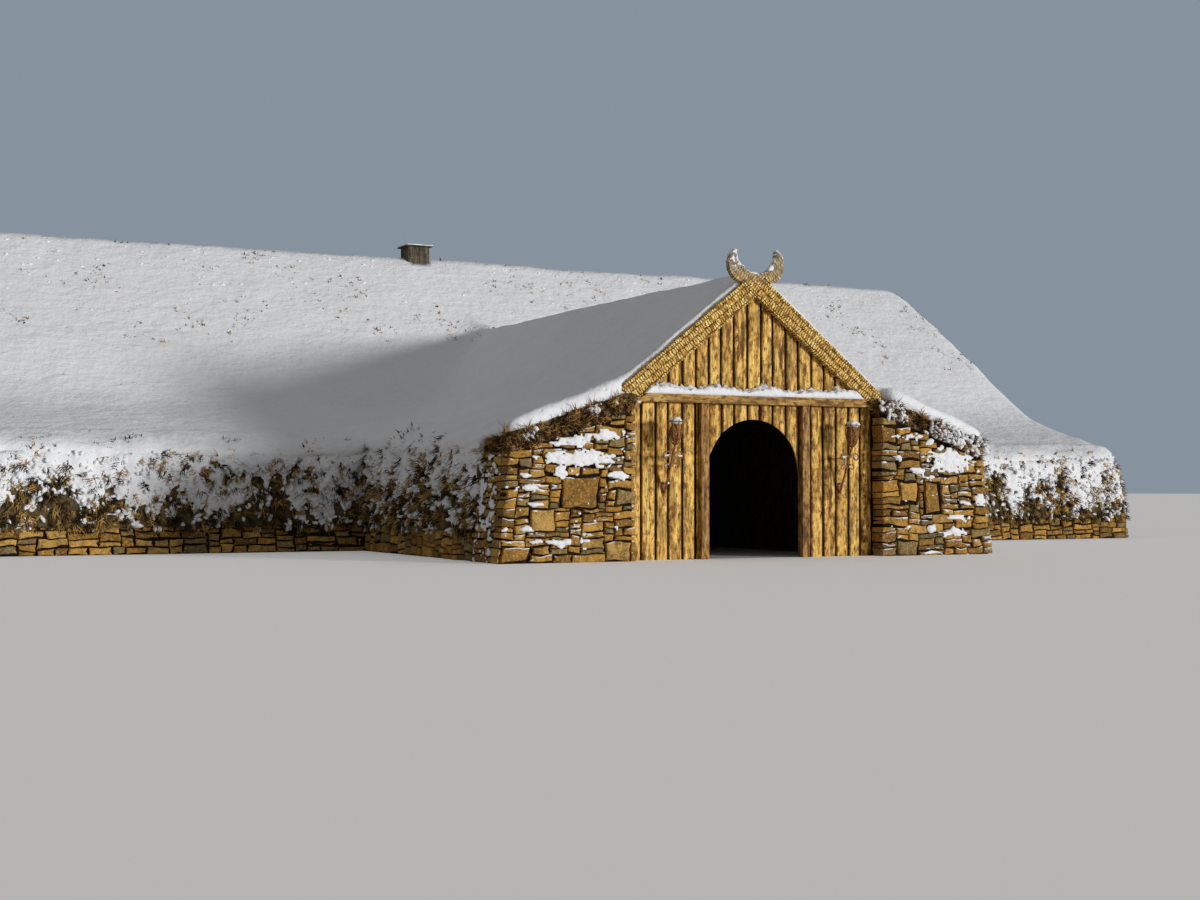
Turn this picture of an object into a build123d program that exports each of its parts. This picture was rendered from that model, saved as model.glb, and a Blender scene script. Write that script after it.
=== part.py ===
from build123d import *
import math
import os

# Turf house: a long hall with battered turf walls and a steep turf roof, and an
# entrance porch in front of it with a plank gable between two dry stone wings.
# Millimetres, +Z up, +X along the hall, +Y into the house from the doorway.
# The origin is at ground level in the middle of the whole footprint.

# Driving dimensions of the hall
hall_half_length = 14900
hall_half_depth = 8480
hall_ridge_height = 6720
hall_crease_height = 2870
hall_crease_inset = 3580
hall_corner_radius = 900
hall_wall_thickness = 2310
hall_end_thickness = 2300
hall_eave_slope = 0.29
wall_batter = 0.16
roof_thickness = 320
footing_height = 450

# Driving dimensions of the porch and its stone wings
porch_length = 6190
porch_half_width = 4850
porch_inner_half_width = 2420
porch_ridge_height = 4770
porch_crease_half_width = 2600
porch_crease_height = 2716
porch_shelf_slope = 0.33
porch_batter = 0.1
wing_proud = 350
wing_depth = 1000

# Driving dimensions of the plank front and the lining behind it
plank_thickness = 60
lining_thickness = 60
door_half_width = 925
door_post_width = 150
door_post_proud = 100
arch_radius = 900
arch_springing_height = 1450
tie_beam_bottom = 2600
tie_beam_height = 140
tie_beam_proud = 170

# Driving dimensions of the gable boards and the horns that they end in
board_width = 345
board_thickness = 120
board_above_roof = 100
horn_crotch_height = 4823
horn_inner_radius = 390
horn_half_width = 550
horn_widest_height = 4950
horn_tip_height = 5235
horn_tip_width = 12
horn_root = 300

# Driving dimensions of the timber frame
frame_count = 6
frame_end_gap = 600
post_side = 240
tie_height = 200
purlin_width = 220
purlin_height = 200
ridge_beam_width = 240
ridge_beam_height = 260
rafter_width = 120
rafter_height = 160
rafter_count = 10
rafter_seat = 0.4
plate_width = 180
plate_height = 160
porch_rafter_count = 7
porch_rafter_gap = 300

# Driving dimensions of the smoke vent on the ridge
vent_offset = -700
vent_side = 540
vent_board = 50
vent_above_ridge = 400
vent_lid_side = 680
vent_lid_thickness = 60

# Driving dimensions of the iron torches
torch_offset = 1740
torch_lean = 400
basket_bottom_height = 1900
basket_height = 400
basket_top_radius = 130
basket_bottom_radius = 70
basket_bar_count = 8
basket_bar_side = 14
basket_floor_thickness = 12
torch_foot_height = 1130
torch_stem_side = 32
torch_plate_height = 300
torch_plate_width = 90
torch_plate_thickness = 12
torch_arm_height = 1700
torch_arm_side = 18

# Places that follow from them. While the house is being made, depth is counted
# from the middle of the planks, and everything is moved to the origin at the end.
plank_front = -plank_thickness / 2
plank_back = plank_thickness / 2
hall_front = porch_length
hall_back = hall_front + 2 * hall_half_depth
hall_ridge = hall_front + hall_half_depth
hall_crease = hall_front + hall_crease_inset
hall_inner = hall_front + hall_wall_thickness
hall_slope = (hall_ridge_height - hall_crease_height) / (hall_ridge - hall_crease)
porch_slope = (porch_ridge_height - porch_crease_height) / porch_crease_half_width
wing_front = -wing_proud
wing_back = wing_depth - wing_proud
torch_head = plank_front - torch_lean
front_reach = torch_head - basket_top_radius - basket_bar_side / 2
middle_depth = (front_reach + hall_back) / 2
end_inner = hall_half_length - hall_end_thickness


def hall_top(depth):
    """Height of the hall's turf at a depth, on either slope."""
    from_ridge = abs(depth - hall_ridge)
    crease = hall_ridge - hall_crease
    if from_ridge <= crease:
        return hall_ridge_height - hall_slope * from_ridge
    return hall_crease_height - hall_eave_slope * (from_ridge - crease)


def porch_top(width):
    """Height of the porch's turf at a distance from its ridge."""
    if abs(width) <= porch_crease_half_width:
        return porch_ridge_height - porch_slope * abs(width)
    return porch_crease_height - porch_shelf_slope * (abs(width) - porch_crease_half_width)


def hall_under(depth):
    return hall_top(depth) - roof_thickness


def porch_under(width):
    return porch_top(width) - roof_thickness


def along_x(points, start, end):
    """A prism along X of an outline given as depth and height."""
    face = make_face(Polyline(*[(start, depth, height) for depth, height in points], close=True))
    return extrude(face, amount=end - start, dir=(1, 0, 0))


def along_y(points, start, end):
    """A prism along Y of an outline given as width and height."""
    face = make_face(Polyline(*[(width, start, height) for width, height in points], close=True))
    return extrude(face, amount=end - start, dir=(0, 1, 0))


def block(x, y, z):
    """A block between two values along each axis."""
    size = [high - low for low, high in (x, y, z)]
    centre = [(high + low) / 2 for low, high in (x, y, z)]
    return Pos(*centre) * Box(*size)


def mirrored(shape):
    return mirror(shape, about=Plane.YZ)


def at_back(shape):
    """The same piece on the hall's other slope."""
    return mirror(shape, about=Plane.XZ.offset(-hall_ridge))


nodes = {}


def keep(name, *solids):
    """Put the solids of one piece in its node, in the house's own frame."""
    moved = [Pos(0, -middle_depth, 0) * solid for solid in solids]
    nodes[name] = moved[0] if len(moved) == 1 else Compound(children=moved)


def keep_pair(name, right):
    keep(name + "_right", right)
    keep(name + "_left", mirrored(right))


def keep_both(name, right):
    keep(name, right, mirrored(right))


# The hall's outside: every wall leans in by the same batter, with rounded corners
def hall_mass():
    foot = Pos(0, hall_ridge, 0) * Rectangle(2 * hall_half_length, 2 * hall_half_depth)
    mass = extrude(foot, amount=hall_ridge_height, taper=math.degrees(math.atan(wall_batter)))
    leaning = mass.edges().filter_by(lambda edge: abs(edge.position_at(0).Z - edge.position_at(1).Z) > 1)
    return fillet(leaning, hall_corner_radius)


hall_outside = hall_mass()
eave_height = (hall_crease_height - hall_eave_slope * hall_crease_inset) / (1 - hall_eave_slope * wall_batter)
eave_depth = hall_front + wall_batter * eave_height
front_half = [
    (hall_front, 0),
    (eave_depth, eave_height),
    (hall_crease, hall_crease_height),
    (hall_ridge, hall_ridge_height),
    (hall_ridge, 0),
]
hall_shadow = along_x(front_half, -hall_half_length, hall_half_length)


# Walls of turf stand on a stone footing
def footing(wall):
    reach = 2 * hall_half_length
    return wall & block((-reach, reach), (front_reach, hall_back + reach), (0, footing_height))


def turf(wall):
    return wall - footing(wall)


def hall_walls():
    side = [
        (hall_front, 0),
        (hall_inner, 0),
        (hall_inner, hall_under(hall_inner)),
        (hall_front, hall_under(hall_front)),
    ]
    front = along_x(side, porch_inner_half_width, hall_half_length) & hall_outside
    keep_pair("hall_front_wall", turf(front))
    back = at_back(along_x(side, -hall_half_length, hall_half_length) & hall_outside)
    keep("hall_back_wall", turf(back))
    keep("hall_side_footings", footing(front), mirrored(footing(front)), footing(back))
    far_inner = 2 * hall_ridge - hall_inner
    gable = [
        (hall_inner, 0),
        (hall_inner, hall_under(hall_inner)),
        (hall_crease, hall_under(hall_crease)),
        (hall_ridge, hall_under(hall_ridge)),
        (2 * hall_ridge - hall_crease, hall_under(hall_crease)),
        (far_inner, hall_under(far_inner)),
        (far_inner, 0),
    ]
    end = along_x(gable, end_inner, hall_half_length) & hall_outside
    keep_pair("hall_end_wall", turf(end))
    keep_both("hall_end_footings", footing(end))


def hall_roof(flue):
    steep = [
        (hall_crease, hall_top(hall_crease)),
        (hall_ridge, hall_top(hall_ridge)),
        (hall_ridge, hall_under(hall_ridge)),
        (hall_crease, hall_under(hall_crease)),
    ]
    shelf = [
        (hall_crease, hall_top(hall_crease)),
        (hall_front, hall_top(hall_front)),
        (hall_front, hall_under(hall_front)),
        (hall_crease, hall_under(hall_crease)),
    ]
    slope = along_x(steep, -hall_half_length, hall_half_length) & hall_outside
    keep("hall_roof_front", slope - flue)
    keep("hall_roof_back", at_back(slope) - flue)
    keep_pair("hall_eave_front", along_x(shelf, porch_inner_half_width, hall_half_length) & hall_outside)
    keep("hall_eave_back", at_back(along_x(shelf, -hall_half_length, hall_half_length) & hall_outside))


# The porch: turf side walls, a gabled roof and turf shelves over the walls
porch_eave_height = (
    porch_crease_height - porch_shelf_slope * (porch_half_width - porch_crease_half_width)
) / (1 - porch_shelf_slope * porch_batter)
porch_eave_width = porch_half_width - porch_batter * porch_eave_height
under_eave_height = porch_eave_height - roof_thickness
under_eave_width = porch_half_width - porch_batter * under_eave_height
side_outline = [
    (porch_inner_half_width, 0),
    (porch_half_width, 0),
    (under_eave_width, porch_under(under_eave_width)),
    (porch_crease_half_width, porch_under(porch_crease_half_width)),
    (porch_inner_half_width, porch_under(porch_inner_half_width)),
]
shelf_outline = [
    (porch_crease_half_width, porch_top(porch_crease_half_width)),
    (porch_eave_width, porch_top(porch_eave_width)),
    (under_eave_width, porch_under(under_eave_width)),
    (porch_crease_half_width, porch_under(porch_crease_half_width)),
]


def porch_walls():
    wall = along_y(side_outline, wing_back, hall_crease) - hall_shadow
    keep_pair("porch_wall", turf(wall))
    keep_both("porch_footings", footing(wall))


def porch_roof():
    slope = [
        (0, porch_top(0)),
        (porch_crease_half_width, porch_top(porch_crease_half_width)),
        (porch_crease_half_width, porch_under(porch_crease_half_width)),
        (0, porch_under(0)),
    ]
    keep_pair("porch_roof", along_y(slope, plank_front, hall_ridge) - hall_shadow)
    keep_pair("porch_eave", along_y(shelf_outline, wing_back, hall_ridge) - hall_shadow)


# The stone wings stand ahead of the planks and carry a cap of turf
def wings():
    keep_pair("wing_wall", along_y(side_outline, wing_front, wing_back))
    level = porch_crease_height
    ahead = [
        (porch_inner_half_width, level),
        (porch_crease_half_width, level),
        (porch_eave_width, porch_top(porch_eave_width)),
        (under_eave_width, porch_under(under_eave_width)),
        (porch_crease_half_width, porch_under(porch_crease_half_width)),
        (porch_inner_half_width, porch_under(porch_inner_half_width)),
    ]
    cap = along_y(ahead, wing_front, plank_front - board_thickness)
    cap += along_y(shelf_outline, plank_front - board_thickness, wing_back)
    keep_pair("wing_turf_cap", cap)


# The gable boards follow the roof, and the tie beam's ends are cut to their lower edges
board_top = porch_ridge_height + board_above_roof
board_under = board_top - board_width * math.sqrt(1 + porch_slope * porch_slope)


def board_under_width(height):
    """Distance from the ridge at which a gable board's lower edge has a height."""
    return (board_under - height) / porch_slope


# The plank front with its arched doorway
def plank_front_pieces():
    post_outer = door_half_width + door_post_width
    meet = (porch_under(0) - tie_beam_bottom) / porch_slope
    lower = [
        (post_outer, 0),
        (porch_inner_half_width, 0),
        (porch_inner_half_width, min(tie_beam_bottom, porch_under(porch_inner_half_width))),
        (min(meet, porch_inner_half_width), tie_beam_bottom),
        (post_outer, tie_beam_bottom),
    ]
    keep_pair("plank_front", along_y(lower, plank_front, plank_back))
    gable = [(-meet, tie_beam_bottom), (meet, tie_beam_bottom), (0, porch_under(0))]
    keep("gable_planks", along_y(gable, plank_front, plank_back))
    post = block(
        (door_half_width, post_outer),
        (plank_front - door_post_proud, plank_back),
        (0, tie_beam_bottom),
    )
    keep_both("door_posts", post)
    over_door = block(
        (-door_half_width, door_half_width),
        (plank_front, plank_back),
        (arch_springing_height, tie_beam_bottom),
    )
    arch = Pos(0, 0, arch_springing_height) * Rot(90, 0, 0) * Cylinder(arch_radius, 4 * plank_thickness)
    keep("door_arch_planks", over_door - arch)
    long_edge = board_under_width(tie_beam_bottom)
    short_edge = board_under_width(tie_beam_bottom + tie_beam_height)
    beam = [
        (-long_edge, tie_beam_bottom),
        (long_edge, tie_beam_bottom),
        (short_edge, tie_beam_bottom + tie_beam_height),
        (-short_edge, tie_beam_bottom + tie_beam_height),
    ]
    keep("tie_beam", along_y(beam, plank_front - tie_beam_proud, plank_front))


# Two gable boards cross at the ridge in a half lap, and each ends in a horn
def gable_board():
    """The board that runs down to the right, with its horn curving up to the left."""
    angle = math.atan(porch_slope)
    end = (porch_crease_half_width, board_top - porch_slope * porch_crease_half_width)
    end_under = (end[0] - board_width * math.sin(angle), end[1] - board_width * math.cos(angle))
    crotch_meet = (board_top - horn_crotch_height) / porch_slope
    tip_inner = (-horn_inner_radius, horn_tip_height)
    tip_outer = (-horn_inner_radius - horn_tip_width, horn_tip_height)
    bend = horn_inner_radius * math.sqrt(0.5)
    inner_middle = (-bend, horn_crotch_height + horn_inner_radius - bend)
    root = (-horn_root, board_under + porch_slope * horn_root)
    with BuildSketch(Plane.XZ.offset(-plank_front)) as outline:
        with BuildLine():
            Polyline(
                (0, horn_crotch_height),
                (crotch_meet, horn_crotch_height),
                end,
                end_under,
                root,
            )
            ThreePointArc(root, (-horn_half_width, horn_widest_height), tip_outer)
            Line(tip_outer, tip_inner)
            ThreePointArc(tip_inner, inner_middle, (0, horn_crotch_height))
        make_face()
    return extrude(outline.sketch, amount=board_thickness)


def gable_boards():
    whole = gable_board()
    other = mirrored(whole)
    middle = plank_front - board_thickness / 2
    wide = (-porch_half_width, porch_half_width)
    tall = (0, 2 * porch_ridge_height)
    back_half = block(wide, (middle, plank_front), tall)
    front_half_slab = block(wide, (plank_front - board_thickness, middle), tall)
    keep("gable_board_right", whole - (other & back_half))
    keep("gable_board_left", other - (whole & front_half_slab))


# The timber frame under the turf
def spread(count, start, end):
    """Even places from one coordinate to another."""
    return [start + (end - start) * number / (count - 1) for number in range(count)]


def rafter_outline(foot, head, under, slope, seat_height):
    """A rafter's side, from the cut that stands on its plate to its head."""
    deep = rafter_height * math.sqrt(1 + slope * slope)
    seat_end = foot + (seat_height - under + deep) / slope
    rise = slope * (head - foot)
    return [
        (foot, under),
        (head, under + rise),
        (head, under + rise - deep),
        (seat_end, seat_height),
        (foot, seat_height),
    ]


def hall_frame():
    under = hall_under(hall_crease)
    deep = rafter_height * math.sqrt(1 + hall_slope * hall_slope)
    purlin_top = under - (1 - rafter_seat) * deep
    purlin_bottom = purlin_top - purlin_height
    tie_bottom = purlin_bottom - tie_height
    post_middle = hall_crease + purlin_width / 2
    post_reach = (post_middle - post_side / 2, post_middle + post_side / 2)
    last_place = end_inner - frame_end_gap
    places = spread(frame_count, -last_place, last_place)
    across = [(place - post_side / 2, place + post_side / 2) for place in places]
    posts = [block(x, post_reach, (0, tie_bottom)) for x in across]
    keep("hall_posts", *posts, *[at_back(post) for post in posts])
    tie_reach = (post_reach[0], 2 * hall_ridge - post_reach[0])
    keep("hall_tie_beams", *[block(x, tie_reach, (tie_bottom, purlin_bottom)) for x in across])
    purlin = block((-end_inner, end_inner), (hall_crease, hall_crease + purlin_width), (purlin_bottom, purlin_top))
    keep("hall_purlins", purlin, at_back(purlin))
    half = ridge_beam_width / 2
    shoulder = hall_under(hall_ridge - half)
    ridge_outline = [
        (hall_ridge - half, shoulder),
        (hall_ridge, hall_under(hall_ridge)),
        (hall_ridge + half, shoulder),
        (hall_ridge + half, shoulder - ridge_beam_height),
        (hall_ridge - half, shoulder - ridge_beam_height),
    ]
    keep("hall_ridge_beam", along_x(ridge_outline, -end_inner, end_inner))
    king_reach = (hall_ridge - half, hall_ridge + half)
    king_height = (purlin_bottom, shoulder - ridge_beam_height)
    keep("hall_king_posts", *[block(x, king_reach, king_height) for x in across])
    outline = rafter_outline(hall_crease, hall_ridge - half, under, hall_slope, purlin_top)
    rafters = [
        along_x(outline, place - rafter_width / 2, place + rafter_width / 2)
        for place in spread(rafter_count, -last_place, last_place)
    ]
    keep("hall_rafters", *rafters, *[at_back(rafter) for rafter in rafters])


def porch_frame():
    under = porch_under(porch_inner_half_width)
    deep = rafter_height * math.sqrt(1 + porch_slope * porch_slope)
    plate_top = under - (1 - rafter_seat) * deep
    plate_bottom = plate_top - plate_height
    plate_reach = (porch_inner_half_width - plate_width, porch_inner_half_width)
    run = (plank_back, hall_inner)
    keep_both("porch_plates", block(plate_reach, run, (plate_bottom, plate_top)))
    lining_reach = (porch_inner_half_width - lining_thickness, porch_inner_half_width)
    keep_both("porch_linings", block(lining_reach, run, (0, plate_bottom)))
    half = ridge_beam_width / 2
    shoulder = porch_under(half)
    ridge_outline = [
        (-half, shoulder),
        (0, porch_under(0)),
        (half, shoulder),
        (half, shoulder - ridge_beam_height),
        (-half, shoulder - ridge_beam_height),
    ]
    keep("porch_ridge_beam", along_y(ridge_outline, plank_back, hall_ridge) - hall_shadow)
    outline = rafter_outline(-porch_inner_half_width, -half, under, porch_slope, plate_top)
    rafters = []
    for place in spread(porch_rafter_count, plank_back + porch_rafter_gap, hall_inner - porch_rafter_gap):
        left = along_y(outline, place - rafter_width / 2, place + rafter_width / 2)
        rafters += [left, mirrored(left)]
    keep("porch_rafters", *rafters)


# The smoke vent: a board shaft through the ridge under a flat lid
def vent_square(side, bottom, top):
    half = side / 2
    return block(
        (vent_offset - half, vent_offset + half),
        (hall_ridge - half, hall_ridge + half),
        (bottom, top),
    )


def smoke_vent():
    bottom = hall_under(hall_ridge)
    top = hall_ridge_height + vent_above_ridge
    shaft = vent_square(vent_side, bottom, top)
    bore = vent_square(vent_side - 2 * vent_board, bottom, top)
    keep("smoke_vent_shaft", shaft - bore)
    keep("smoke_vent_lid", vent_square(vent_lid_side, top, top + vent_lid_thickness))
    return vent_square(vent_side, 0, top)


# The torches: a basket of flat iron on a stem that leans out of the wall
def basket_radius(height):
    share = (height - basket_bottom_height) / basket_height
    return basket_bottom_radius + share * (basket_top_radius - basket_bottom_radius)


def basket_ring(height):
    radius = basket_radius(height)
    outer = RegularPolygon(radius + basket_bar_side / 2, 2 * basket_bar_count)
    inner = RegularPolygon(radius - basket_bar_side / 2, 2 * basket_bar_count)
    return Pos(0, 0, height - basket_bar_side / 2) * extrude(outer - inner, amount=basket_bar_side)


def basket_bar():
    half = basket_bar_side / 2
    top = basket_bottom_height + basket_height
    side = [
        (basket_bottom_radius - half, basket_bottom_height),
        (basket_bottom_radius + half, basket_bottom_height),
        (basket_top_radius + half, top),
        (basket_top_radius - half, top),
    ]
    return along_y(side, -half, half)


def torches():
    half = basket_bar_side / 2
    floor = RegularPolygon(basket_bottom_radius + half, 2 * basket_bar_count)
    basket = Pos(0, 0, basket_bottom_height) * extrude(floor, amount=basket_floor_thickness)
    for number in range(basket_bar_count):
        basket += Rot(0, 0, 360 * number / basket_bar_count) * basket_bar()
    for share in (0.5, 1):
        basket += basket_ring(basket_bottom_height + share * basket_height - half * share)
    keep_both("torch_baskets", Pos(torch_offset, torch_head, 0) * basket)
    plate_front = plank_front - torch_plate_thickness
    stem_half = torch_stem_side / 2
    foot = plate_front - stem_half + torch_plate_thickness / 2
    stem_outline = [
        (foot - stem_half, torch_foot_height),
        (foot + stem_half, torch_foot_height),
        (torch_head + stem_half, basket_bottom_height),
        (torch_head - stem_half, basket_bottom_height),
    ]
    stem = along_x(stem_outline, torch_offset - stem_half, torch_offset + stem_half)
    plate_half = torch_plate_width / 2
    plate_outline = [
        (torch_offset, torch_foot_height - torch_plate_height / 2),
        (torch_offset + plate_half, torch_foot_height),
        (torch_offset + plate_half / 2, torch_foot_height + torch_plate_height / 2),
        (torch_offset - plate_half / 2, torch_foot_height + torch_plate_height / 2),
        (torch_offset - plate_half, torch_foot_height),
    ]
    plate = along_y(plate_outline, plate_front, plank_front)
    rise = (torch_arm_height - torch_foot_height) / (basket_bottom_height - torch_foot_height)
    arm_end = foot + rise * (torch_head - foot)
    arm_half = torch_arm_side / 2
    arm = block(
        (torch_offset - arm_half, torch_offset + arm_half),
        (arm_end, plank_front),
        (torch_arm_height - arm_half, torch_arm_height + arm_half),
    )
    keep_both("torch_stems", stem + plate + arm)


hall_walls()
hall_roof(smoke_vent())
porch_walls()
porch_roof()
wings()
plank_front_pieces()
gable_boards()
hall_frame()
porch_frame()
torches()

os.makedirs("parts", exist_ok=True)
for name, shape in nodes.items():
    export_step(shape, "parts/" + name + ".step")
print(len(nodes), "nodes")
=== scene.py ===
import math
import random

import bmesh
import bpy
from mathutils import Matrix, Vector, noise


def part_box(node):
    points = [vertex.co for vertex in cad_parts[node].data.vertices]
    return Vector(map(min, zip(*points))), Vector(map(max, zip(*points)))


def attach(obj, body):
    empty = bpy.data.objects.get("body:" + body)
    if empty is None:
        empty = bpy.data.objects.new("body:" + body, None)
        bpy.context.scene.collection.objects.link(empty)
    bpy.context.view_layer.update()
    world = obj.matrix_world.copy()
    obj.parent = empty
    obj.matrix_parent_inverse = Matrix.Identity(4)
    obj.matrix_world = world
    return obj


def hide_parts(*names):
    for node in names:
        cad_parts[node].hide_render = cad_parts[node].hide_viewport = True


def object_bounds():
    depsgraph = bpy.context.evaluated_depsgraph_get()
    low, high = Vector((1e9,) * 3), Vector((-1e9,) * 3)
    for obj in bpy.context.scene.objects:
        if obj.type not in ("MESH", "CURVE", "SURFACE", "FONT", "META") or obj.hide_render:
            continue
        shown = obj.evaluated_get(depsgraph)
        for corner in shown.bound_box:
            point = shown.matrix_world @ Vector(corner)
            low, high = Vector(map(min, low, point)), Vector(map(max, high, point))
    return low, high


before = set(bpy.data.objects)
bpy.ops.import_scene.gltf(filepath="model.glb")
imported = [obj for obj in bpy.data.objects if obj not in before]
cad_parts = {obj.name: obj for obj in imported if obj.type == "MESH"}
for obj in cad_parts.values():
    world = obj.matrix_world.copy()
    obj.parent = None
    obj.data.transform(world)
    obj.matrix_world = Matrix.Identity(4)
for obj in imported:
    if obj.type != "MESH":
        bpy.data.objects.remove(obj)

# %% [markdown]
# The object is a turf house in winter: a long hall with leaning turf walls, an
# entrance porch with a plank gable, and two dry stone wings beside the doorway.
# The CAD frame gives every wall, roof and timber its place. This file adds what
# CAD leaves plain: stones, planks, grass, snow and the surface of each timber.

cad_low, cad_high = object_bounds()
scene = bpy.context.scene
print("CAD box", [round(v, 3) for v in (*cad_low, *cad_high)])

# %% [markdown]
# The snow, the stones and the grass all follow the house's outside, so the same
# few measures that shape the CAD walls and roofs are written here, in metres.
# Depth is counted in the shared frame, where the planks' middle plane is known
# from the CAD gable, and two small functions give the height of the bare turf.

# %% Measures of the hall and the porch
plank_low, plank_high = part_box("gable_planks")
planks_y = (plank_low.y + plank_high.y) / 2
hall_half_length = 14.9
hall_half_depth = 8.48
hall_ridge_height = 6.72
hall_crease_height = 2.87
crease_from_ridge = 4.9
corner_radius = 0.9
batter = 0.16
porch_batter = 0.1
hall_eave_slope = 0.29
hall_eave_height = 1.92
hall_front_y = planks_y + 6.19
hall_ridge_y = hall_front_y + hall_half_depth
footing_height = 0.45
porch_half_width = 4.85
porch_inner = 2.42
porch_ridge_height = 4.77
porch_crease = 2.6
porch_crease_height = 2.716
porch_shelf_slope = 0.33
porch_eave_width = 4.646
wing_front_y = planks_y - 0.35
wing_back_y = planks_y + 0.65
turf_thickness = 0.32
hall_slope = (hall_ridge_height - hall_crease_height) / crease_from_ridge
porch_slope = (porch_ridge_height - porch_crease_height) / porch_crease


def hall_top(y):
    """Height of the hall's bare turf at a depth."""
    away = abs(y - hall_ridge_y)
    if away < crease_from_ridge:
        return hall_ridge_height - hall_slope * away
    return hall_crease_height - hall_eave_slope * (away - crease_from_ridge)


def porch_top(x):
    """Height of the porch's bare turf at a distance from its ridge."""
    if abs(x) < porch_crease:
        return porch_ridge_height - porch_slope * abs(x)
    return porch_crease_height - porch_shelf_slope * (abs(x) - porch_crease)


def wall_gap(point):
    """How far inside the house's outer wall faces a point is."""
    if point.y < hall_front_y + 0.1:
        return porch_half_width - porch_batter * point.z - abs(point.x)
    lean = batter * point.z
    over_x = abs(point.x) - (hall_half_length - lean - corner_radius)
    over_y = abs(point.y - hall_ridge_y) - (hall_half_depth - lean - corner_radius)
    if over_x > 0 and over_y > 0:
        return corner_radius - math.hypot(over_x, over_y)
    return corner_radius - max(over_x, over_y)


print("planks at", round(planks_y, 4), "ridge at", round(hall_ridge_y, 4))

# %% [markdown]
# Nothing on this house is straight or flat, so one smooth noise is used all over
# to push points about. It is read at a point and at a size in metres, and gives
# about -1 to 1. Each finished mesh becomes an object here: it rides on the
# house's one body, says which finish it takes, and which CAD nodes it stands for.
# Some operators hand points and faces back in any order, so they are sorted by
# place first. That way the chances drawn for them fall the same on each run.

# %% Helpers that shape and show a piece
def ripple(point, size, shift=0.0):
    """Smooth noise with waves of a size in metres."""
    return noise.noise(Vector(point) / size + Vector((shift, 1.7 * shift, -shift)))


def place_number(at):
    """One number for a place, counted in tenths of a millimetre by x, then y, then z."""
    x, y, z = (round(1e4 * value) for value in at)
    return (x * 3e5 + y) * 8e4 + z


def mesh_of(bm, name):
    """A mesh with the points and faces of bm, sorted by their places."""
    bm.verts.sort(key=lambda vert: place_number(vert.co))
    bm.faces.sort(key=lambda face: place_number(face.calc_center_median()))
    mesh = bpy.data.meshes.new(name)
    bm.to_mesh(mesh)
    bm.free()
    return mesh


def show(name, shape, material, replaced=(), sharp=None):
    """Makes a mesh or bmesh a shown piece of the house, smooth up to an angle in degrees."""
    mesh = shape if isinstance(shape, bpy.types.Mesh) else mesh_of(shape, name)
    piece = bpy.data.objects.new(name, mesh)
    scene.collection.objects.link(piece)
    mesh.materials.clear()
    mesh.materials.append(material)
    mesh.shade_smooth()
    if sharp is not None:
        mesh.set_sharp_from_angle(angle=math.radians(sharp))
    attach(piece, "root")
    if replaced:
        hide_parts(*replaced)
    print(name, len(mesh.loop_triangles) or len(mesh.polygons), "faces")
    return piece


def applied(piece):
    """The piece's mesh with its modifiers applied."""
    made = bpy.data.meshes.new_from_object(piece.evaluated_get(bpy.context.evaluated_depsgraph_get()))
    piece.modifiers.clear()
    return made


def copy_of(*pieces):
    """One bmesh with the meshes of some pieces."""
    bm = bmesh.new()
    for piece in pieces:
        bm.from_mesh(piece.data)
    return bm


def cad_copy(*nodes):
    """One bmesh with the joined and merged solids of some CAD nodes."""
    bm = copy_of(*(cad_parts[node] for node in nodes))
    bmesh.ops.remove_doubles(bm, verts=bm.verts, dist=1e-5)
    return bm


def add_part(bm, part):
    """Adds a finished part to bm."""
    mesh = mesh_of(part, "part")
    bm.from_mesh(mesh)
    bpy.data.meshes.remove(mesh)


def points_of(made):
    """The points among the things that an operator made."""
    return [item for item in made if isinstance(item, bmesh.types.BMVert)]


def drop_faces(bm, unwanted):
    """Deletes the faces for which unwanted(face) holds."""
    bmesh.ops.delete(bm, geom=[face for face in bm.faces if unwanted(face)], context="FACES")


def face_outwards(bm):
    bmesh.ops.recalc_face_normals(bm, faces=bm.faces)


def wear_edges(bm, edges, offset, segments=1, **more):
    bmesh.ops.bevel(bm, geom=edges, offset=offset, segments=segments, affect="EDGES",
                    profile=0.5, material=-1, **more)


def smooth(bm, verts, rounds):
    for _ in range(rounds):
        bmesh.ops.smooth_vert(bm, verts=verts, factor=0.5, use_axis_x=True, use_axis_y=True, use_axis_z=True)


def keep_in_plan(verts):
    """Moves points back where they stick out of the CAD model's box at an end or at the back."""
    for vert in verts:
        vert.co.x = max(cad_low.x, min(cad_high.x, vert.co.x))
        vert.co.y = min(cad_high.y, vert.co.y)


def level(height):
    """A line or a surface that has one height all over."""
    return lambda *at: height


def voxel_mesh(bm, size):
    """The same solid as an even net of small quads."""
    piece = bpy.data.objects.new("voxels", mesh_of(bm, "voxels"))
    scene.collection.objects.link(piece)
    remesh = piece.modifiers.new("even", "REMESH")
    remesh.mode = "VOXEL"
    remesh.voxel_size = size
    made = bmesh.new()
    mesh = applied(piece)
    made.from_mesh(mesh)
    bpy.data.objects.remove(piece)
    bpy.data.meshes.remove(mesh)
    return made


# %% [markdown]
# A finish is a small tree of nodes on Object coordinates. The helpers below add
# one node each and give back its output, so a finish reads as a short recipe:
# where it is, what noise it has, how that becomes a colour, and how it is raised.

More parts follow.
